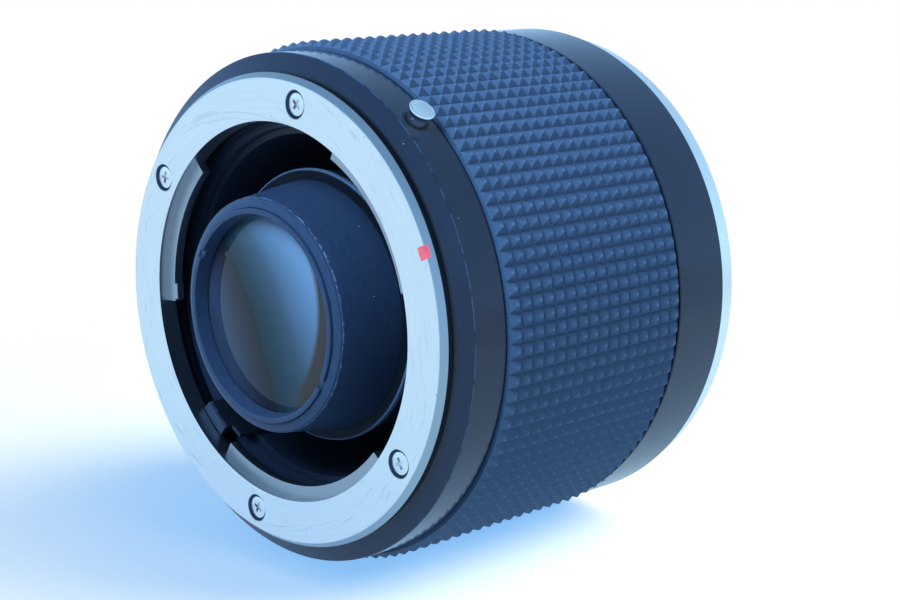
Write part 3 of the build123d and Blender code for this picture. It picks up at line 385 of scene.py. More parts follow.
def specks(material, spacing, size, share):
    """Scattered dots: their spacing and radius in millimetres, and the share of them that shows."""
    place = add(material, "TexCoord").outputs["Object"]
    dots = add(material, "TexVoronoi", {"Vector": place, "Scale": 1 / (spacing * mm)})
    inputs = {0: dots.outputs["Distance"], 1: size / spacing * 0.6, 2: size / spacing, 3: 1.0, 4: 0.0}
    round_dots = add(material, "MapRange", inputs)
    chance = add(material, "SeparateColor", {0: dots.outputs["Color"]})
    chosen = add(material, "Math", {0: chance, 1: share}, operation="LESS_THAN")
    return add(material, "Math", {0: round_dots, 1: chosen}, operation="MULTIPLY")


def stretches(material, size, least):
    """Patches of about a size in millimetres, fewer of them the higher the least is."""
    place = add(material, "TexCoord").outputs["Object"]
    patches = add(material, "TexNoise", {"Vector": place, "Scale": 1 / (size * mm), "Detail": 4.0})
    return add(material, "MapRange", {0: patches, 1: least, 2: least + 0.08})


# Blackened sheet steel, with faint rolled grain, painted paler along the front edge that the
# lens's own levers slide on.
black_sheet = grained("blackened_steel_sheet", ("#0b0f16", "#131822"), (0.5, 0.65), 0.3, bump=0.002)
# The front edge is painted paler, on a boundary that wanders with noise.
lever_place, _, lever_depth = from_axis(black_sheet)
uneven = add(black_sheet, "TexNoise", {"Vector": lever_place, "Scale": 1 / (0.8 * mm)})
pale_depth = add(
    black_sheet, "Math", {0: uneven, 1: lever_pale_wander * mm, 2: lever_depth}, operation="MULTIPLY_ADD"
)
pale_start = seat + lever_pale_depth * mm
pale_end = pale_start + lever_pale_fade * mm
pale_front = add(black_sheet, "MapRange", {0: pale_depth, 1: pale_start, 2: pale_end, 3: 0.7, 4: 0.0})
wear_and_painted_light(black_sheet, "#3b475a", 0.5, pale_front)
keep(black_sheet, "stop_down_front_lever", "aperture_front_lever")
# Bare sheet steel, dulled in the dark of the throat, with rolled grain.
bare_sheet = grained("bare_steel_sheet", ("#6f7a86", "#98a4b0"), (0.3, 0.5), 0.3, bump=0.002, Metallic=1.0)
keep(bare_sheet, "stop_down_rear_lever", "aperture_rear_lever")


# Optical mount, lens tube and the rings that clamp the inner glasses.
# The web and the tube are aluminium under matt black paint, so no light strays between glasses.

# Matt black paint: dead flat, with a fine orange peel.
matt_paint = grained("matt_black_paint", ("#0b1019", "#121926"), (0.55, 0.7), 0.2, bump=0.004)
keep(matt_anodised, "optical_mount")
keep(matt_paint, "lens_tube", "tube_lock_ring", "inner_retaining_ring", "glass_spacer")
keep(matt_paint, "rear_retaining_ring")


# The inner glasses and the rear glass.
# Polished optical glass with a thin bloom on the faces that meet air. They are clamped between
# the steps of the tube and the rings.

bloom_size = 9.0
# Clear optical glass with a faint blue bloom.
clear_glass = bpy.data.materials.new("clear_optical_glass")
clear_glass.use_nodes = True
clear_shader = clear_glass.node_tree.nodes["Principled BSDF"]
bloom_place = add(clear_glass, "TexCoord").outputs["Object"]
bloom = add(clear_glass, "TexNoise", {"Vector": bloom_place, "Scale": 1 / (bloom_size * mm), "Detail": 1.0})
bloom_tint = add(clear_glass, "Mix", {0: bloom, 6: "#dfeaf2", 7: "#eef4f4"}, data_type="RGBA")
bloom_haze = add(clear_glass, "MapRange", {0: bloom, 1: 0.3, 2: 0.7, 3: 0.01, 4: 0.03})
for socket, value in (
    ("Transmission Weight", 1.0),
    ("IOR", 1.6),
    ("Base Color", bloom_tint),
    ("Roughness", bloom_haze),
):
    feed(clear_glass, clear_shader.inputs[socket], value)
keep(clear_glass, "second_glass", "third_glass", "fourth_glass", "rear_glass")


# Front cell: the black cone in the throat, which screws into the lens tube.
# Turned aluminium under thin satin paint, rubbed pale in places round its nose by the rear caps
# of lenses, with a narrow shoulder where the tube begins.

cell_low, cell_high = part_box("front_cell")
cell_nose = (cell_low.y - seat) / mm
cell_back = (cell_high.y - seat) / mm
cell_edge_radius = cell_high.x / mm
cell_cone_radius = cell_edge_radius - 1.4
cell_tube_radius = cell_edge_radius - 0.6
cell_cone_back = cell_back - 4.6
cell_shoulder_back = cell_cone_back + 0.8
cell_shoulder_bevel = 0.12
cell_rim_radius = 14.8
cell_rim_front = cell_nose + 0.35
cell_groove = 0.2
cell_groove_back = cell_rim_front + 0.17
cell_edge_front = cell_rim_front + 0.19
cell_bore = 13.55
cell_glass_bore = 13.35
cell_seat_radius = 12.45
cell_back_bore = 15.5
cell_seat_front = 4.0
cell_seat_back = 6.2
cell_ring_back = -0.7
cell_round = 0.12
nose_wear_width = 0.07
shoulder_line = 0.3
# Satin black paint on the cell: a soft blue-black sheen, with a hair of wear along the nose,
# a painted highlight as a pale line round the rim of the shoulder, painted shade as dark matt paint on its
# flat, and dust.
cell_paint = grained(
    "satin_black_paint_on_cell",
    ("#273349", "#303e56"),
    (0.34, 0.44),
    0.22,
    bump=0.002,
    streak=1.2,
    Specular_Tint="#b8d6ff",
)
_, cell_reach, cell_depth = from_axis(cell_paint)
# Painted shade: the flat of the shoulder is painted near black and matt.
shoulder = near(cell_paint, cell_depth, seat + cell_cone_back * mm, shoulder_line * mm)
cone_rim = (cell_cone_radius - 0.1) * mm
outside_cone = add(cell_paint, "Math", {0: cell_reach, 1: cone_rim}, operation="GREATER_THAN")
wear_and_painted_light(cell_paint, "#05080d", 0.7, shoulder, outside_cone)
nose_edge = near(cell_paint, cell_reach, cell_rim_radius * mm, nose_wear_width * mm)
nose_back = seat + (cell_rim_front + 0.45) * mm
at_nose = add(cell_paint, "Math", {0: cell_depth, 1: nose_back}, operation="LESS_THAN")
wear_and_painted_light(cell_paint, "#8ea4c2", 0.35, nose_edge, at_nose, stretches(cell_paint, 0.6, 0.5), 0.4)
# Painted highlight: a pale line round the rim of the shoulder.
shoulder_rim_highlight = near(cell_paint, cell_reach, cell_edge_radius * mm, shoulder_line * mm)
wear_and_painted_light(cell_paint, "#8298bc", 0.35, shoulder_rim_highlight, 0.9)
wear_and_painted_light(cell_paint, "#a9bdd8", 0.35, specks(cell_paint, 1.5, 0.08, 0.12))
cell_outline = [
    (cell_bore, cell_nose),
    (cell_rim_radius - 0.8 * cell_groove, cell_rim_front),
    (cell_rim_radius - cell_groove, cell_groove_back),
    (cell_rim_radius, cell_edge_front),
    (cell_cone_radius, cell_cone_back),
    (cell_edge_radius - cell_shoulder_bevel, cell_cone_back),
    (cell_edge_radius, cell_cone_back + cell_shoulder_bevel),
    (cell_edge_radius, cell_shoulder_back),
    (cell_tube_radius, cell_shoulder_back),
    (cell_tube_radius, cell_back),
    (cell_back_bore, cell_back),
    (cell_back_bore, cell_seat_back),
    (cell_seat_radius, cell_seat_back),
    (cell_seat_radius, cell_seat_front),
    (cell_glass_bore, cell_seat_front),
    (cell_glass_bore, cell_ring_back),
    (cell_bore, cell_ring_back),
]
front_cell = piece_of(
    soften(turned(cell_outline, 192), cell_round), "front_cell_cone", cell_paint
)
shade(front_cell)
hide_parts("front_cell")


# Front retaining ring: the threaded ring in front of the front glass.
# Thin brass under the same paint as the cell, with a sloping inner face that leads to the glass
# and two notches for a spanner.

ring_low, ring_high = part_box("front_retaining_ring")
ring_nose = (ring_low.y - seat) / mm
ring_back = (ring_high.y - seat) / mm
ring_outer = ring_high.x / mm
ring_mouth = 12.8
ring_round = 0.1
notch_width = 1.0
notch_depth = 0.6
notch_angle = 150
ring_outline = [(ring_mouth, ring_nose), (ring_outer, ring_nose), (ring_outer, ring_back)]
ring_outline += [(cell_seat_radius, ring_back)]
retaining_ring = piece_of(
    soften(turned(ring_outline, 192), ring_round), "front_glass_ring", cell_paint
)
notches = bmesh.new()
bmesh.ops.create_cube(notches, size=1.0)
notches_size = Vector((2.2 * ring_outer, notch_width, 2 * notch_depth)) * mm
bmesh.ops.scale(notches, vec=notches_size, verts=notches.verts)
bmesh.ops.rotate(notches, matrix=Matrix.Rotation(-math.radians(notch_angle), 3, "Y"), verts=notches.verts)
bmesh.ops.translate(notches, vec=(0, seat + ring_nose * mm, 0), verts=notches.verts)
cut(retaining_ring, notches)
shade(retaining_ring)
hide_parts("front_retaining_ring")


# Front glass: a thick positive glass with a coating, whose violet, green and blue reflections are painted
# on.
# Ground and polished optical glass, blackened round its edge and clamped in the cell.

glass_low, glass_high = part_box("front_glass")
glass_radius = glass_high.x
glass_front = (glass_low.y - seat) / mm
glass_middle = 5.2
glass_curves = (4.5, 9.0)
dome_steps = 24
veil_size = 7.0


def face_points(front, share, radius, steps):
    """Points of a spherical face from the axis to the edge; the curve is a share of the radius."""
    curve = share * radius
    for step in range(steps + 1):
        out = radius * step / steps
        yield out, front + curve - math.sqrt(curve**2 - out**2)


front_face = list(face_points(glass_front, glass_curves[0], glass_radius / mm, dome_steps))
back_face = list(face_points(glass_front + glass_middle, glass_curves[1], glass_radius / mm, dome_steps))
glass_place = Matrix.Translation((0, seat, 0)) @ Matrix.Rotation(math.radians(-90), 4, "X")
# Coated glass seen against a dark tube, its reflections painted into its colour: grey-violet at one side,
# a brownish dark wedge, a curved teal edge in the middle and sky blue at the other side, with a thin amber
# crescent.
coated_glass = bpy.data.materials.new("coated_glass_painted_reflections")
coated_glass.use_nodes = True
coated_shader = coated_glass.node_tree.nodes["Principled BSDF"]
glass_point = add(coated_glass, "TexCoord").outputs["Object"]
glass_parts = add(coated_glass, "SeparateXYZ", {0: glass_point}).outputs
# The painted reflections are laid out on the glass in shares of its radius, leant over and bowed.
across = add(
    coated_glass, "Math", {0: glass_parts["X"], 1: 1.145 / glass_radius, 2: 0.072}, operation="MULTIPLY_ADD"
)
tilt = add(coated_glass, "Math", {0: glass_parts["X"], 1: -0.16 / glass_radius}, operation="MULTIPLY")
height = add(
    coated_glass, "Math", {0: glass_parts["Z"], 1: 1.07 / glass_radius, 2: tilt}, operation="MULTIPLY_ADD"
)
height_squared = add(coated_glass, "Math", {0: height, 1: height}, operation="MULTIPLY")
leant = add(coated_glass, "Math", {0: height, 1: 0.54, 2: across}, operation="MULTIPLY_ADD")
bowed = add(coated_glass, "Math", {0: height_squared, 1: 0.3, 2: leant}, operation="MULTIPLY_ADD")
veil = add(coated_glass, "TexNoise", {"Vector": glass_point, "Scale": 1 / (veil_size * mm), "Detail": 1.0})
swayed = add(coated_glass, "Math", {0: veil, 1: 0.1, 2: bowed}, operation="MULTIPLY_ADD")
from_side = add(coated_glass, "MapRange", {0: swayed, 1: -1.25, 2: 1.35})
reflection_bands = add(coated_glass, "ValToRGB", {0: from_side})
stops = (
    (0.0, "#2c3446"),
    (0.2, "#323a4c"),
    (0.32, "#2b2d3c"),
    (0.42, "#242126"),
    (0.465, "#1b1e22"),
    (0.48, "#1a2b31"),
    (0.54, "#1e333b"),
    (0.66, "#394a57"),
    (0.8, "#5b7087"),
    (1.0, "#7b93ad"),
)
ramp = reflection_bands.color_ramp
for position, _ in stops[1:-1]:
    ramp.elements.new(position)
for element, (position, colour) in zip(sorted(ramp.elements, key=lambda e: e.position), stops):
    element.position = position
    element.color = linear(colour)
from_left = add(coated_glass, "Math", {0: across, 1: 0.14})
rim_reach = add(
    coated_glass, "Math", {0: from_left, 1: from_left, 2: height_squared}, operation="MULTIPLY_ADD"
)
crescent = add(coated_glass, "MapRange", {0: rim_reach, 1: 1.02, 2: 1.14})
right_half = add(coated_glass, "MapRange", {0: across, 1: 0.35, 2: 0.6})
amber = add(coated_glass, "Math", {0: crescent, 1: right_half}, operation="MULTIPLY")
glass_colour = add(coated_glass, "Mix", {0: amber, 6: reflection_bands, 7: "#3f3632"}, data_type="RGBA")
for socket, value in (
    ("Base Color", glass_colour),
    ("Roughness", 0.05),
    ("IOR", 1.5),
    ("Specular IOR Level", 0.15),
    ("Coat Weight", 0.2),
    ("Coat Roughness", 0.02),
):
    feed(coated_glass, coated_shader.inputs[socket], value)
front_glass = piece_of(
    spun(front_face + back_face[::-1], glass_place, 128),
    "front_coated_glass",
    coated_glass,
)
shade(front_glass)
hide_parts("front_glass")


# Front barrel: the black step behind the ring, its flat face and the plain band.
# Turned aluminium, anodised glossy black. A thin bright line is painted along the edge between
# face and band as a highlight, and dust lies on the face. The lock lever sits in a pocket inside.

band_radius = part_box("front_barrel")[1].x / mm
band_back = 8.1
band_round = 0.12
step_radius = 29.9
step_front = 0.87
step_depth = 1.9
face_depth = step_depth + 0.9
register_radius = 28.65
register_depth = 1.62
lip_bore = 25.45
lip_back = 2.88
shelf_bore = 24.6
shelf_back = 4.7
spigot_outer = 30.6
spigot_inner = 29.3
spigot_back = band_back + 3.9
ring_screw_circle = 26.8
ring_screw_places = [along_axis(ring_screw_circle, angle, 0) for angle in (80.4, 146.4, 260.4, 326.4)]
button_angle = 51.5
button_depth = 5.2
button_foot = 29.0
button_bore = 1.65
# The lever's pocket, and the window that its tooth passes through: angles, then the outline.
pocket_angles = (45, 77)
pocket_outline = box_outline(25.9, 30.1, 3.6, band_back + 5)
tooth_angles = (66.2, 76)
tooth_outline = box_outline(24.0, 29.6, 2.97, 4.43)
# Glossy black anodising: deep, with soft reflections along the round band, a painted highlight as
# a thin pale line in patches on its front edge, painted shade in the gap round the bright ring, and dust.
gloss_anodised = grained(
    "glossy_black_anodised_aluminium",
    ("#111a29", "#141f31"),
    (0.3, 0.4),
    0.35,
    bump=0.0006,
    streak=10.0,
    Specular_IOR_Level=0.1,
    Coat_Weight=0.9,
    Coat_Roughness=0.14,
    Coat_Tint="#c4deff",
    Specular_Tint="#b8d6ff",
)
_, band_reach, band_depth = from_axis(gloss_anodised)
# Painted highlight: a thin pale line, in patches, along the edge between face and band.
at_rim = near(gloss_anodised, band_reach, (band_radius - 0.05) * mm, 0.06 * mm)
at_face = near(gloss_anodised, band_depth, seat + (face_depth + 0.1) * mm, 0.12 * mm)
wear_and_painted_light(gloss_anodised, "#8b9fbd", 0.35, at_rim, at_face, stretches(gloss_anodised, 1.6, 0.42), 0.35)
wear_and_painted_light(gloss_anodised, "#b4c6e0", 0.35, specks(gloss_anodised, 1.5, 0.08, 0.1))
# Painted shade: a dark band on the face next to the bright ring.
gap_shade_start = (step_radius + 0.05) * mm
gap_shade_end = (step_radius + 0.25) * mm
gap_shade = add(gloss_anodised, "MapRange", {0: band_reach, 1: gap_shade_start, 2: gap_shade_end, 3: 1.0, 4: 0.0})
wear_and_painted_light(gloss_anodised, "#05070b", 0.7, gap_shade)
band_outline = [
    (lip_bore, register_depth),
    (register_radius, register_depth),
    (register_radius, step_front),
    (step_radius, step_front),
    (step_radius, step_depth),
    (band_radius, face_depth + 0.06),
    (band_radius, band_back),
    (spigot_outer, band_back),
    (spigot_outer, spigot_back),
    (spigot_inner, spigot_back),
    (spigot_inner, band_back),
    (carrier_bore, band_back),
    (carrier_bore, shelf_back),
    (shelf_bore, shelf_back),
    (shelf_bore, lip_back),
    (lip_bore, lip_back),
]
front_barrel = piece_of(
    soften(turned(band_outline), band_round), "front_barrel_band", gloss_anodised
)


def pointing_out(angle, depth):
    """Matrix that stands a shape's Z outwards from the optical axis."""
    turn = math.radians(angle)
    z = Vector((math.cos(turn), 0, math.sin(turn)))
    x = Vector((0, 1, 0))
    place = Matrix.Translation((0, seat + depth * mm, 0))
    return place @ Matrix((x, z.cross(x), z)).transposed().to_4x4()


button_place = pointing_out(button_angle, button_depth)
bore_top = band_radius + 1.2
bore_profile = [(0, button_foot), (button_bore, button_foot), (button_bore, bore_top), (0, bore_top)]
cut(
    front_barrel,
    sector(pocket_outline, *pocket_angles),
    sector(tooth_outline, *tooth_angles),
    spun(bore_profile, button_place),
    *[screw_hole(place) for place in ring_screw_places],
)
shade(front_barrel)
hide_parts("front_barrel")


# Lock lever, its pin, clip and spring, and the clip that keeps the button in.
# Stamped steel parts in the front barrel's pocket, with a spring of bare wire.

keep(bright_steel, "lock_lever", "lock_lever_pin")
keep(spring_wire, "lock_lever_clip", "lock_lever_spring", "button_clip")


# Release button and the bush it slides in.
# Turned and polished brass under bright chrome: a stem with a flared, slightly dished head.
# The blackened bush is pressed into the band, flush with it.

stem_radius = 1.25
stem_foot = 30.05
button_neck = band_radius + 0.8
bush_foot = 30.15
bush_bore = 1.3
bush_outer = 1.6
bush_round = 0.06
# Outlines of the foot with its groove, and of the flared head: radius, and height in millimetres
# above the foot and above the neck.
foot_profile = ((0, 0), (0.6, 0.02), (0.93, 0.15), (1.0, 0.35), (1.0, 0.62), (0.7, 0.62), (0.7, 1.05))
head_profile = (
    *((stem_radius, 0), (1.27, 0.25), (1.35, 0.5), (1.5, 0.72), (1.62, 0.83), (1.65, 0.88), (1.65, 1.03)),
    *((1.6, 1.14), (1.5, 1.2), (1.35, 1.18), (0.9, 1.12), (0.45, 1.085), (0, 1.075)),
)
# Polished chrome: a clean mirror with a few hair scratches.
polished_chrome = grained("polished_chrome", ("#dfe6ee", "#f4f8fb"), (0.08, 0.18), 0.15, Metallic=1.0)
button_profile = [(radius, button_foot + height) for radius, height in foot_profile]
button_profile += [(stem_radius, stem_foot)]
button_profile += [(radius, button_neck + height) for radius, height in head_profile]
button = piece_of(
    spun(button_profile, button_place, 64),
    "release_button_pin",
    polished_chrome,
    "release_button",
)
shade(button, 40)
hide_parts("release_button")
bush_profile = box_outline(bush_bore, bush_outer, bush_foot, band_radius)
bush = piece_of(
    soften(spun([*bush_profile, bush_profile[0]], button_place, 64), bush_round),
    "release_button_bush",
    black_sheet,
)
shade(bush)
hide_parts("button_bush")


# Bayonet spring plate: thin spring steel behind the lugs, which presses the lens home.
# It is stamped and bent, and held between the front ring and the front barrel.

keep(spring_wire, "bayonet_spring")


# Front bayonet ring: the bright ring that the lens locks into.
# Turned brass under satin chrome. Its face keeps the fine rings of the lathe, with scuffs and
# pits from years of lens changes, and three lugs reach inwards behind it.

lens_ring_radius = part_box("front_bayonet_ring")[1].x / mm
ring_rim = 0.85
ring_bevel = 0.65
ring_shoulder = lens_ring_radius - 1.4
ring_register = 1.6
ring_spigot = 25.4
ring_soft_edge = 0.08
throat = 24.0
lug_inner = 22.25
lug_front = 1.2
lug_back = 2.6
lug_root = throat + 0.7
lug_round = 0.15
lugs = ((14.0, 65.0), (134.0, 185.0), (240.0, 318.5))
pad_outline = box_outline(lug_inner - 0.4, throat + 0.6, lug_front + 0.05, lug_back - 0.05)
pad_angles = (178.6, 184.4)
pad_round = 0.25
index_circle = 29.6
index_angle = 22.7
index_size = Vector((2.8, 1.6, 0.85)) * mm
# Satin chrome: bright and cool, brushed round by the lathe, so highlights run in arcs, with scuffs and
# pits. Painted shade makes it duller on the chamfer, with a dark line at its inner edge, in the throat, on
# the lugs and in the screw holes.
satin_chrome = grained(
    "satin_chrome_on_brass",
    ("#eff2f4", "#fbfbfb"),
    (0.22, 0.29),
    0.12,
    bump=0.0005,
    streak=6.0,
    Metallic=1.0,
)
_, ring_reach, ring_depth = from_axis(satin_chrome)
scuff_inputs = {"Vector": drawn_round(satin_chrome, 0.2), "Scale": 1 / (0.5 * mm), "Detail": 5.0}
scuffs = add(satin_chrome, "TexNoise", scuff_inputs)
scuff_mask = add(satin_chrome, "MapRange", {0: scuffs, 1: 0.6, 2: 0.75, 3: 0.0, 4: 0.4})
wear_and_painted_light(satin_chrome, "#b4c0cc", 0.4, scuff_mask)
wear_and_painted_light(satin_chrome, "#66737f", 0.6, specks(satin_chrome, 1.3, 0.1, 0.18))
at_front = add(satin_chrome, "Math", {0: ring_depth, 1: seat + 10 * mm}, operation="LESS_THAN")
# Painted shade: the chamfer is painted duller, with a dark line at its inner edge.
chamfer_start = (lens_ring_radius - ring_bevel - 0.01) * mm
chamfer = add(satin_chrome, "MapRange", {0: ring_reach, 1: chamfer_start, 2: chamfer_start + 0.04 * mm})
wear_and_painted_light(satin_chrome, "#a3b2c0", 0.4, chamfer, at_front)
chamfer_line = near(satin_chrome, ring_reach, (lens_ring_radius - ring_bevel - 0.03) * mm, 0.07 * mm)
wear_and_painted_light(satin_chrome, "#6d7d8f", 0.4, chamfer_line, at_front, 0.4)
# Painted shade: the throat and the lugs in it are painted darker.
throat_start = (throat - 0.02) * mm
throat_end = (throat + 0.05) * mm
in_throat = add(satin_chrome, "MapRange", {0: ring_reach, 1: throat_start, 2: throat_end, 3: 0.6, 4: 0.0})
wear_and_painted_light(satin_chrome, "#56677d", 0.4, in_throat, at_front)
# Painted shade: dark paint in the screw holes and on faces behind the front face near them.
below_face = add(satin_chrome, "MapRange", {0: ring_depth, 1: seat + 0.03 * mm, 2: seat + 0.1 * mm})
screw_circle = near(satin_chrome, ring_reach, ring_screw_circle * mm, 2.0 * mm)
by_screws = add(satin_chrome, "MapRange", {0: screw_circle, 2: 0.1})
wear_and_painted_light(satin_chrome, "#39475a", 0.5, below_face, by_screws, at_front)
lens_ring_outline = [
    (throat, 0),
    (lens_ring_radius - ring_bevel, 0),
    (lens_ring_radius, ring_rim),
    (ring_shoulder, ring_rim),
    (ring_shoulder, ring_register),
    (ring_spigot, ring_register),
    (ring_spigot, lug_back),
    (throat, lug_back),
]
lens_ring = piece_of(
    soften(turned(lens_ring_outline, 360), ring_soft_edge),
    "front_bayonet_ring_face",
    satin_chrome,
)
index_recess = bmesh.new()
bmesh.ops.create_cube(index_recess, size=1.0)
bmesh.ops.scale(index_recess, vec=index_size, verts=index_recess.verts)
bmesh.ops.transform(
    index_recess, matrix=along_axis(index_circle, index_angle, 0), verts=index_recess.verts
)
cut(lens_ring, index_recess, *[screw_hole(place) for place in ring_screw_places])
lug_outline = box_outline(lug_inner, lug_root, lug_front, lug_back)
lug_shapes = [soften(sector(lug_outline, low, high, 1.0), lug_round) for low, high in lugs]
cut(lens_ring, *lug_shapes, soften(sector(pad_outline, *pad_angles), pad_round), operation="UNION")
shade(lens_ring)
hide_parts("front_bayonet_ring")


# Screws of the front ring: four countersunk cross-head screws.
# Nickel-plated steel, as bright as the ring, each turned home and left as it came to rest.

screw_head = 1.43
screw_sink = 0.28
screw_edge = 0.1
screw_shank = 0.85
screw_taper = 0.68
screw_end = 4.6
cross_length = 2.0
cross_width = 0.55
cross_depth = 0.85
cross_taper = 0.6


def cross_screw(place):
    """Countersunk screw, with Z pointing out of its head."""
    return spun(
        [
            (0, -screw_sink),
            (screw_head - screw_edge, -screw_sink),
            (screw_head - 0.3 * screw_edge, -screw_sink - 0.3 * screw_edge),
            (screw_head, -screw_sink - screw_edge),
            (screw_shank, -screw_taper - screw_sink),
            (screw_shank, -screw_end),
            (0, -screw_end),
        ],
        place,
    )


def cross_recess(place, turn):
    """One tapered bar of the cross that a screwdriver fits."""
    bar = bmesh.new()
    bmesh.ops.create_cube(bar, size=1.0)
    bmesh.ops.scale(bar, vec=Vector((cross_length, cross_width, 2 * cross_depth)) * mm, verts=bar.verts)
    low = [vertex for vertex in bar.verts if vertex.co.z < 0]
    bmesh.ops.scale(bar, vec=(cross_taper, cross_taper, 1), verts=low)
    bmesh.ops.rotate(bar, matrix=Matrix.Rotation(math.radians(turn), 3, "Z"), verts=bar.verts)
    bmesh.ops.transform(bar, matrix=place, verts=bar.verts)
    return bar


# Nickel-plated screw heads: as bright as the ring, with a faint mottle of handling.
screw_nickel = grained(
    "nickel_plated_screw", ("#f0f3f5", "#fbfbfb"), (0.2, 0.3), 0.4, bump=0.0005, Metallic=1.0
)


def fit_screws(name, places, turns, node):
    """Screws of one flange, each with its cross turned as it was left."""
    for number, (place, turn) in enumerate(zip(places, turns)):
        screw = piece_of(cross_screw(place), f"{name}_{number + 1}", screw_nickel)
        cut(screw, cross_recess(place, turn), cross_recess(place, turn + 90))
        shade(screw, 25)
        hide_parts(node)


fit_screws("front_ring_screw", ring_screw_places, (59, 25, 74, 59), "front_bayonet_screws")


# Red index mark, let into the ring's edge, and the round one in the rear flange.
# Enamel filled into a milled recess, slightly uneven and rubbed at its corners.

# Red enamel: flat warm red with a soft gloss.
red_enamel = grained("red_enamel", ("#ff4a56", "#ff7078"), (0.3, 0.45), 0.5, bump=0.006, Coat_Weight=0.3)
keep(red_enamel, "lens_index_mark", "camera_index_mark")


# Rubber grip: a sleeve moulded with rows of small square pyramids.
# Black rubber, stretched over the main barrel, gone slightly grey on the tips from handling,
# with dust in the grooves.

grip_front = grip_low.y
grip_back = grip_high.y
grip_peak = grip_high.x
grip_valley = grip_peak - 0.75 * mm
grip_bore = 31.65 * mm
pyramid_rows = 16
pyramids_round = 112
groove = 0.07 * mm
tip = 0.08 * mm
sheet_length = grip_back - grip_front
sheet_width = math.tau * grip_valley
pyramid_half = min(sheet_length / pyramid_rows, sheet_width / pyramids_round) / 2

rubber_sheet = bmesh.new()
bmesh.ops.create_grid(rubber_sheet, x_segments=pyramids_round, y_segments=pyramid_rows, size=0.5)
bmesh.ops.scale(rubber_sheet, vec=(sheet_width, sheet_length, 1), verts=rubber_sheet.verts)
cells = rubber_sheet.faces[:]
bmesh.ops.inset_individual(rubber_sheet, faces=cells, thickness=groove / 2, use_even_offset=True)
bmesh.ops.inset_individual(
    rubber_sheet,
    faces=cells,
    thickness=pyramid_half - groove / 2 - tip / 2,
    depth=grip_peak - grip_valley,
    use_even_offset=True,
)
for vertex in rubber_sheet.verts:
    around = vertex.co.x / sheet_width * math.tau
    out = grip_valley + vertex.co.z
    depth = (grip_front + grip_back) / 2 + vertex.co.y
    vertex.co = (out * math.cos(around), depth, out * math.sin(around))
bmesh.ops.remove_doubles(rubber_sheet, verts=rubber_sheet.verts, dist=0.001 * mm)
rim_edges = [edge for edge in rubber_sheet.edges if edge.is_boundary]
walls = bmesh.ops.extrude_edge_only(rubber_sheet, edges=rim_edges)
inner_rim = [item for item in walls["geom"] if isinstance(item, bmesh.types.BMVert)]
inwards = grip_bore / grip_valley
bmesh.ops.scale(rubber_sheet, vec=(inwards, 1, inwards), verts=inner_rim)
inner_edges = [edge for edge in rubber_sheet.edges if edge.is_boundary]
bmesh.ops.bridge_loops(rubber_sheet, edges=inner_edges)
bmesh.ops.recalc_face_normals(rubber_sheet, faces=rubber_sheet.faces)
# Moulded black rubber: dull blue-black, mottled by the mould, paler on the tips.
moulded_rubber = grained(
    "moulded_black_rubber",
    ("#39495f", "#50627c"),
    (0.4, 0.52),
    0.16,
    bump=0.01,
    Specular_Tint="#b8d6ff",
)
_, rubber_reach, _ = from_axis(moulded_rubber)
tip_start = grip_peak - 0.22 * mm
tips = add(moulded_rubber, "MapRange", {0: rubber_reach, 1: tip_start, 2: grip_peak, 3: 0.0, 4: 0.4})
wear_and_painted_light(moulded_rubber, "#7288a8", 0.5, tips, stretches(moulded_rubber, 1.5, 0.35))
wear_and_painted_light(moulded_rubber, "#9fb2cc", 0.7, specks(moulded_rubber, 1.9, 0.06, 0.12))
rubber_grip = piece_of(rubber_sheet, "rubber_grip_sleeve", moulded_rubber)
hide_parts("rubber_grip")


# Rear bayonet: the flange that seats on the camera, its tube and its three outer lugs.
# Turned brass under the same satin chrome as the front ring, held by four screws.

flange_low, flange_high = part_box("rear_bayonet")
flange_front = (flange_low.y - seat) / mm
flange_radius = flange_high.x / mm
flange_round = 0.2
tube_radius = 22.15
tube_bore = 20.65
tube_back = (flange_high.y - seat) / mm
rear_lugs = ((39.5, 52.0), (141.5, 30.0), (286.2, 52.0))
rear_lug_root = tube_radius - 0.7
rear_lug_radius = 23.85
rear_lug_front = 54.34
rear_lug_back = rear_lug_front + 1.4
rear_lug_round = 0.12
rear_index_place = along_axis(30.4, 322.7, flange_face, 1)
rear_index_hole = (0.85, 0.3)
flange_outline = [
    (tube_bore, flange_front),
    (flange_radius, flange_front),
    (flange_radius, flange_face),
    (tube_radius, flange_face),
    (tube_radius, tube_back),
    (tube_bore, tube_back),
]
rear_bayonet = piece_of(
    soften(turned(flange_outline, 360), flange_round),
    "rear_bayonet_flange",
    satin_chrome,
)
cut(
    rear_bayonet,
    *[screw_hole(place) for place in rear_screw_places],
    round_hole(rear_index_place, *rear_index_hole),
)
shade(rear_bayonet)
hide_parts("rear_bayonet")
rear_lug_outline = box_outline(rear_lug_root, rear_lug_radius, rear_lug_front, rear_lug_back)
for number, (centre, span) in enumerate(rear_lugs):
    lug = sector(rear_lug_outline, centre - span / 2, centre + span / 2, 1.0)
    lug_name = f"rear_bayonet_lug_{number + 1}"
    lug_piece = piece_of(soften(lug, rear_lug_round), lug_name, satin_chrome)
    shade(lug_piece)
    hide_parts("rear_bayonet")
fit_screws("rear_flange_screw", rear_screw_places, (35, 10, 70, 52), "rear_bayonet_screws")


# The white table that it lies on.
# A sheet of white paper, lit from behind by a wide window.

floor_height = grip_low.z
floor_size = 4.0
shade_reach = 0.066
white_reach = 0.16
floor = bmesh.new()
bmesh.ops.create_grid(floor, x_segments=1, y_segments=1, size=floor_size)
bmesh.ops.translate(floor, vec=(0, 0, floor_height), verts=floor.verts)
floor_mesh = bpy.data.meshes.new("table_top")
floor.to_mesh(floor_mesh)
floor.free()
table_top = bpy.data.objects.new("table_top", floor_mesh)
bpy.context.scene.collection.objects.link(table_top)
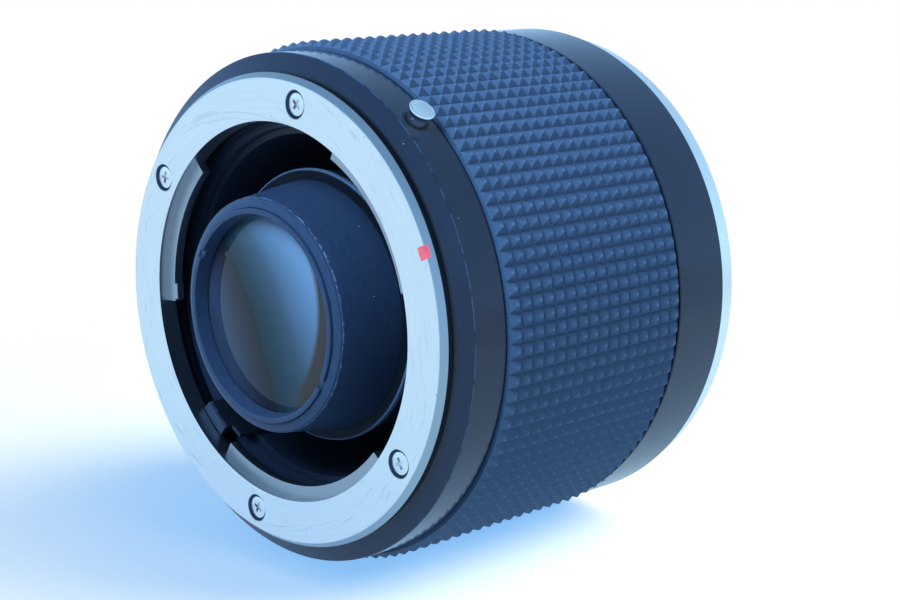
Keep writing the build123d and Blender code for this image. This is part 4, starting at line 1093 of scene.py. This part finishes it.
# White paper. Round the object a blue glow and a warm lit white add up to white, so the object's
# shade is pale blue. Further off it is plain white to the camera and pale blue in reflections,
# and the light that dull surfaces get from it is that of plain paper.
white_paper = bpy.data.materials.new("white_paper")
white_paper.use_nodes = True
white_paper.node_tree.nodes.remove(white_paper.node_tree.nodes["Principled BSDF"])
glow_shares = (0.2, 0.48, 0.9, 1.0)
lit_shares = (1.75, 0.85, 0.2, 1.0)
mirrored_white = 0.65
plain = add(white_paper, "BsdfDiffuse", {"Color": "#e6ebee"})
paths = add(white_paper, "LightPath").outputs
tint = add(white_paper, "Mix", {0: paths["Is Camera Ray"], 6: "#c6e6ff", 7: "#ffffff"}, data_type="RGBA")
glow_tint, lit_tint = [
    add(white_paper, "Mix", {0: 1.0, 6: tint, 7: shares}, data_type="RGBA", blend_type="MULTIPLY")
    for shares in (glow_shares, lit_shares)
]
glow = add(white_paper, "Emission", {"Color": glow_tint, "Strength": 1.0})
lit = add(white_paper, "BsdfDiffuse", {"Color": lit_tint})
near_object = add(white_paper, "AddShader", {0: lit, 1: glow})
far_white = add(white_paper, "Emission", {"Color": tint, "Strength": 1.0})
paper_place = add(white_paper, "TexCoord").outputs["Object"]
paper_reach = add(white_paper, "VectorMath", {0: paper_place}, operation="LENGTH").outputs["Value"]
far_share = add(white_paper, "MapRange", {0: paper_reach, 1: shade_reach, 2: white_reach})
mirror_share = add(white_paper, "Mix", {0: paths["Is Camera Ray"], 2: mirrored_white, 3: 0.0})
far_share = add(white_paper, "Math", {0: far_share, 1: mirror_share}, operation="MAXIMUM")
seen_paper = add(white_paper, "MixShader", {0: far_share, 1: near_object, 2: far_white})
bounced = add(
    white_paper, "Math", {0: paths["Is Diffuse Ray"], 1: paths["Is Shadow Ray"]}, operation="MAXIMUM"
)
paper = add(white_paper, "MixShader", {0: bounced, 1: seen_paper, 2: plain})
feed(white_paper, white_paper.node_tree.nodes["Material Output"].inputs["Surface"], paper)
table_top.data.materials.append(white_paper)


# The room round it: plain white to the camera.
# Polished and glossy pieces mirror a pale blue room, brighter low down, and dull ones get a
# little of its light.

room = bpy.data.worlds.new("bright_room")
bpy.context.scene.world = room
room.use_nodes = True
room.node_tree.nodes.remove(room.node_tree.nodes["Background"])
room_light = 0.24
sky_place = add(room, "TexCoord").outputs["Generated"]
sky_height = add(room, "SeparateXYZ", {0: sky_place}).outputs["Z"]
mirrored_sky = add(room, "MapRange", {0: sky_height, 1: 0.0, 2: 0.8, 3: 1.4, 4: 0.8})
room_paths = add(room, "LightPath").outputs
sky_level = add(room, "Mix", {0: room_paths["Is Diffuse Ray"], 2: mirrored_sky, 3: room_light})
sky = add(room, "Background", {"Color": "#addaff", "Strength": sky_level})
backdrop = add(room, "Background", {"Color": "#ffffff", "Strength": 1.0})
all_round = add(room, "MixShader", {0: room_paths["Is Camera Ray"], 1: sky, 2: backdrop})
feed(room, room.node_tree.nodes["World Output"].inputs["Surface"], all_round)


# Light: three broad soft windows. One in front and overhead lights the object, one behind it
# lights its back, and one throws its shade on the table.


def window(name, place, size, power, colour, table):
    """Soft rectangular lamp that faces the object, and lights only the table or all but it."""
    lamp = bpy.data.lights.new(name, "AREA")
    lamp.shape = "RECTANGLE"
    lamp.size, lamp.size_y = size
    lamp.energy = power
    lamp.color = linear(colour)[:3]
    holder = bpy.data.objects.new(name, lamp)
    bpy.context.scene.collection.objects.link(holder)
    holder.location = place
    holder.rotation_euler = (-Vector(place)).to_track_quat("-Z", "Y").to_euler()
    holder.visible_glossy = False
    lit_by_it = bpy.data.collections.new(name + "_table")
    lit_by_it.objects.link(table_top)
    lit_by_it.collection_objects[0].light_linking.link_state = table
    holder.light_linking.receiver_collection = lit_by_it


window("window_in_front", (0.03, -0.39, 0.39), (0.35, 0.3), 6.0, "#b0dbff", "EXCLUDE")
window("window_behind", (-0.25, 0.4, 0.3), (0.35, 0.3), 2.5, "#b0dbff", "EXCLUDE")
window("window_on_table", (0.36, 0.34, 0.42), (0.5, 0.45), 8.5, "#a6d6ff", "INCLUDE")


# Camera, at the photograph's angle.
# A long lens, a little above the table, to the front right.

camera_place = Vector((179.72, -199.71, 50.45)) * mm
camera_forward = Vector((-0.6929, 0.6911, -0.2056)).normalized()
camera_up = Vector((-0.1456, 0.1452, 0.9786)).normalized()
camera_right = camera_forward.cross(camera_up).normalized()
camera_data = bpy.data.cameras.new("camera")
camera_data.sensor_width = 36.0
camera_data.lens = 76.0
camera_data.clip_start = 0.01
camera = bpy.data.objects.new("camera", camera_data)
bpy.context.scene.collection.objects.link(camera)
camera_turn = Matrix((camera_right, camera_right.cross(camera_forward), -camera_forward)).transposed()
camera.matrix_world = Matrix.Translation(camera_place) @ camera_turn.to_4x4()
bpy.context.scene.camera = camera
bpy.context.scene.view_settings.view_transform = "Standard"
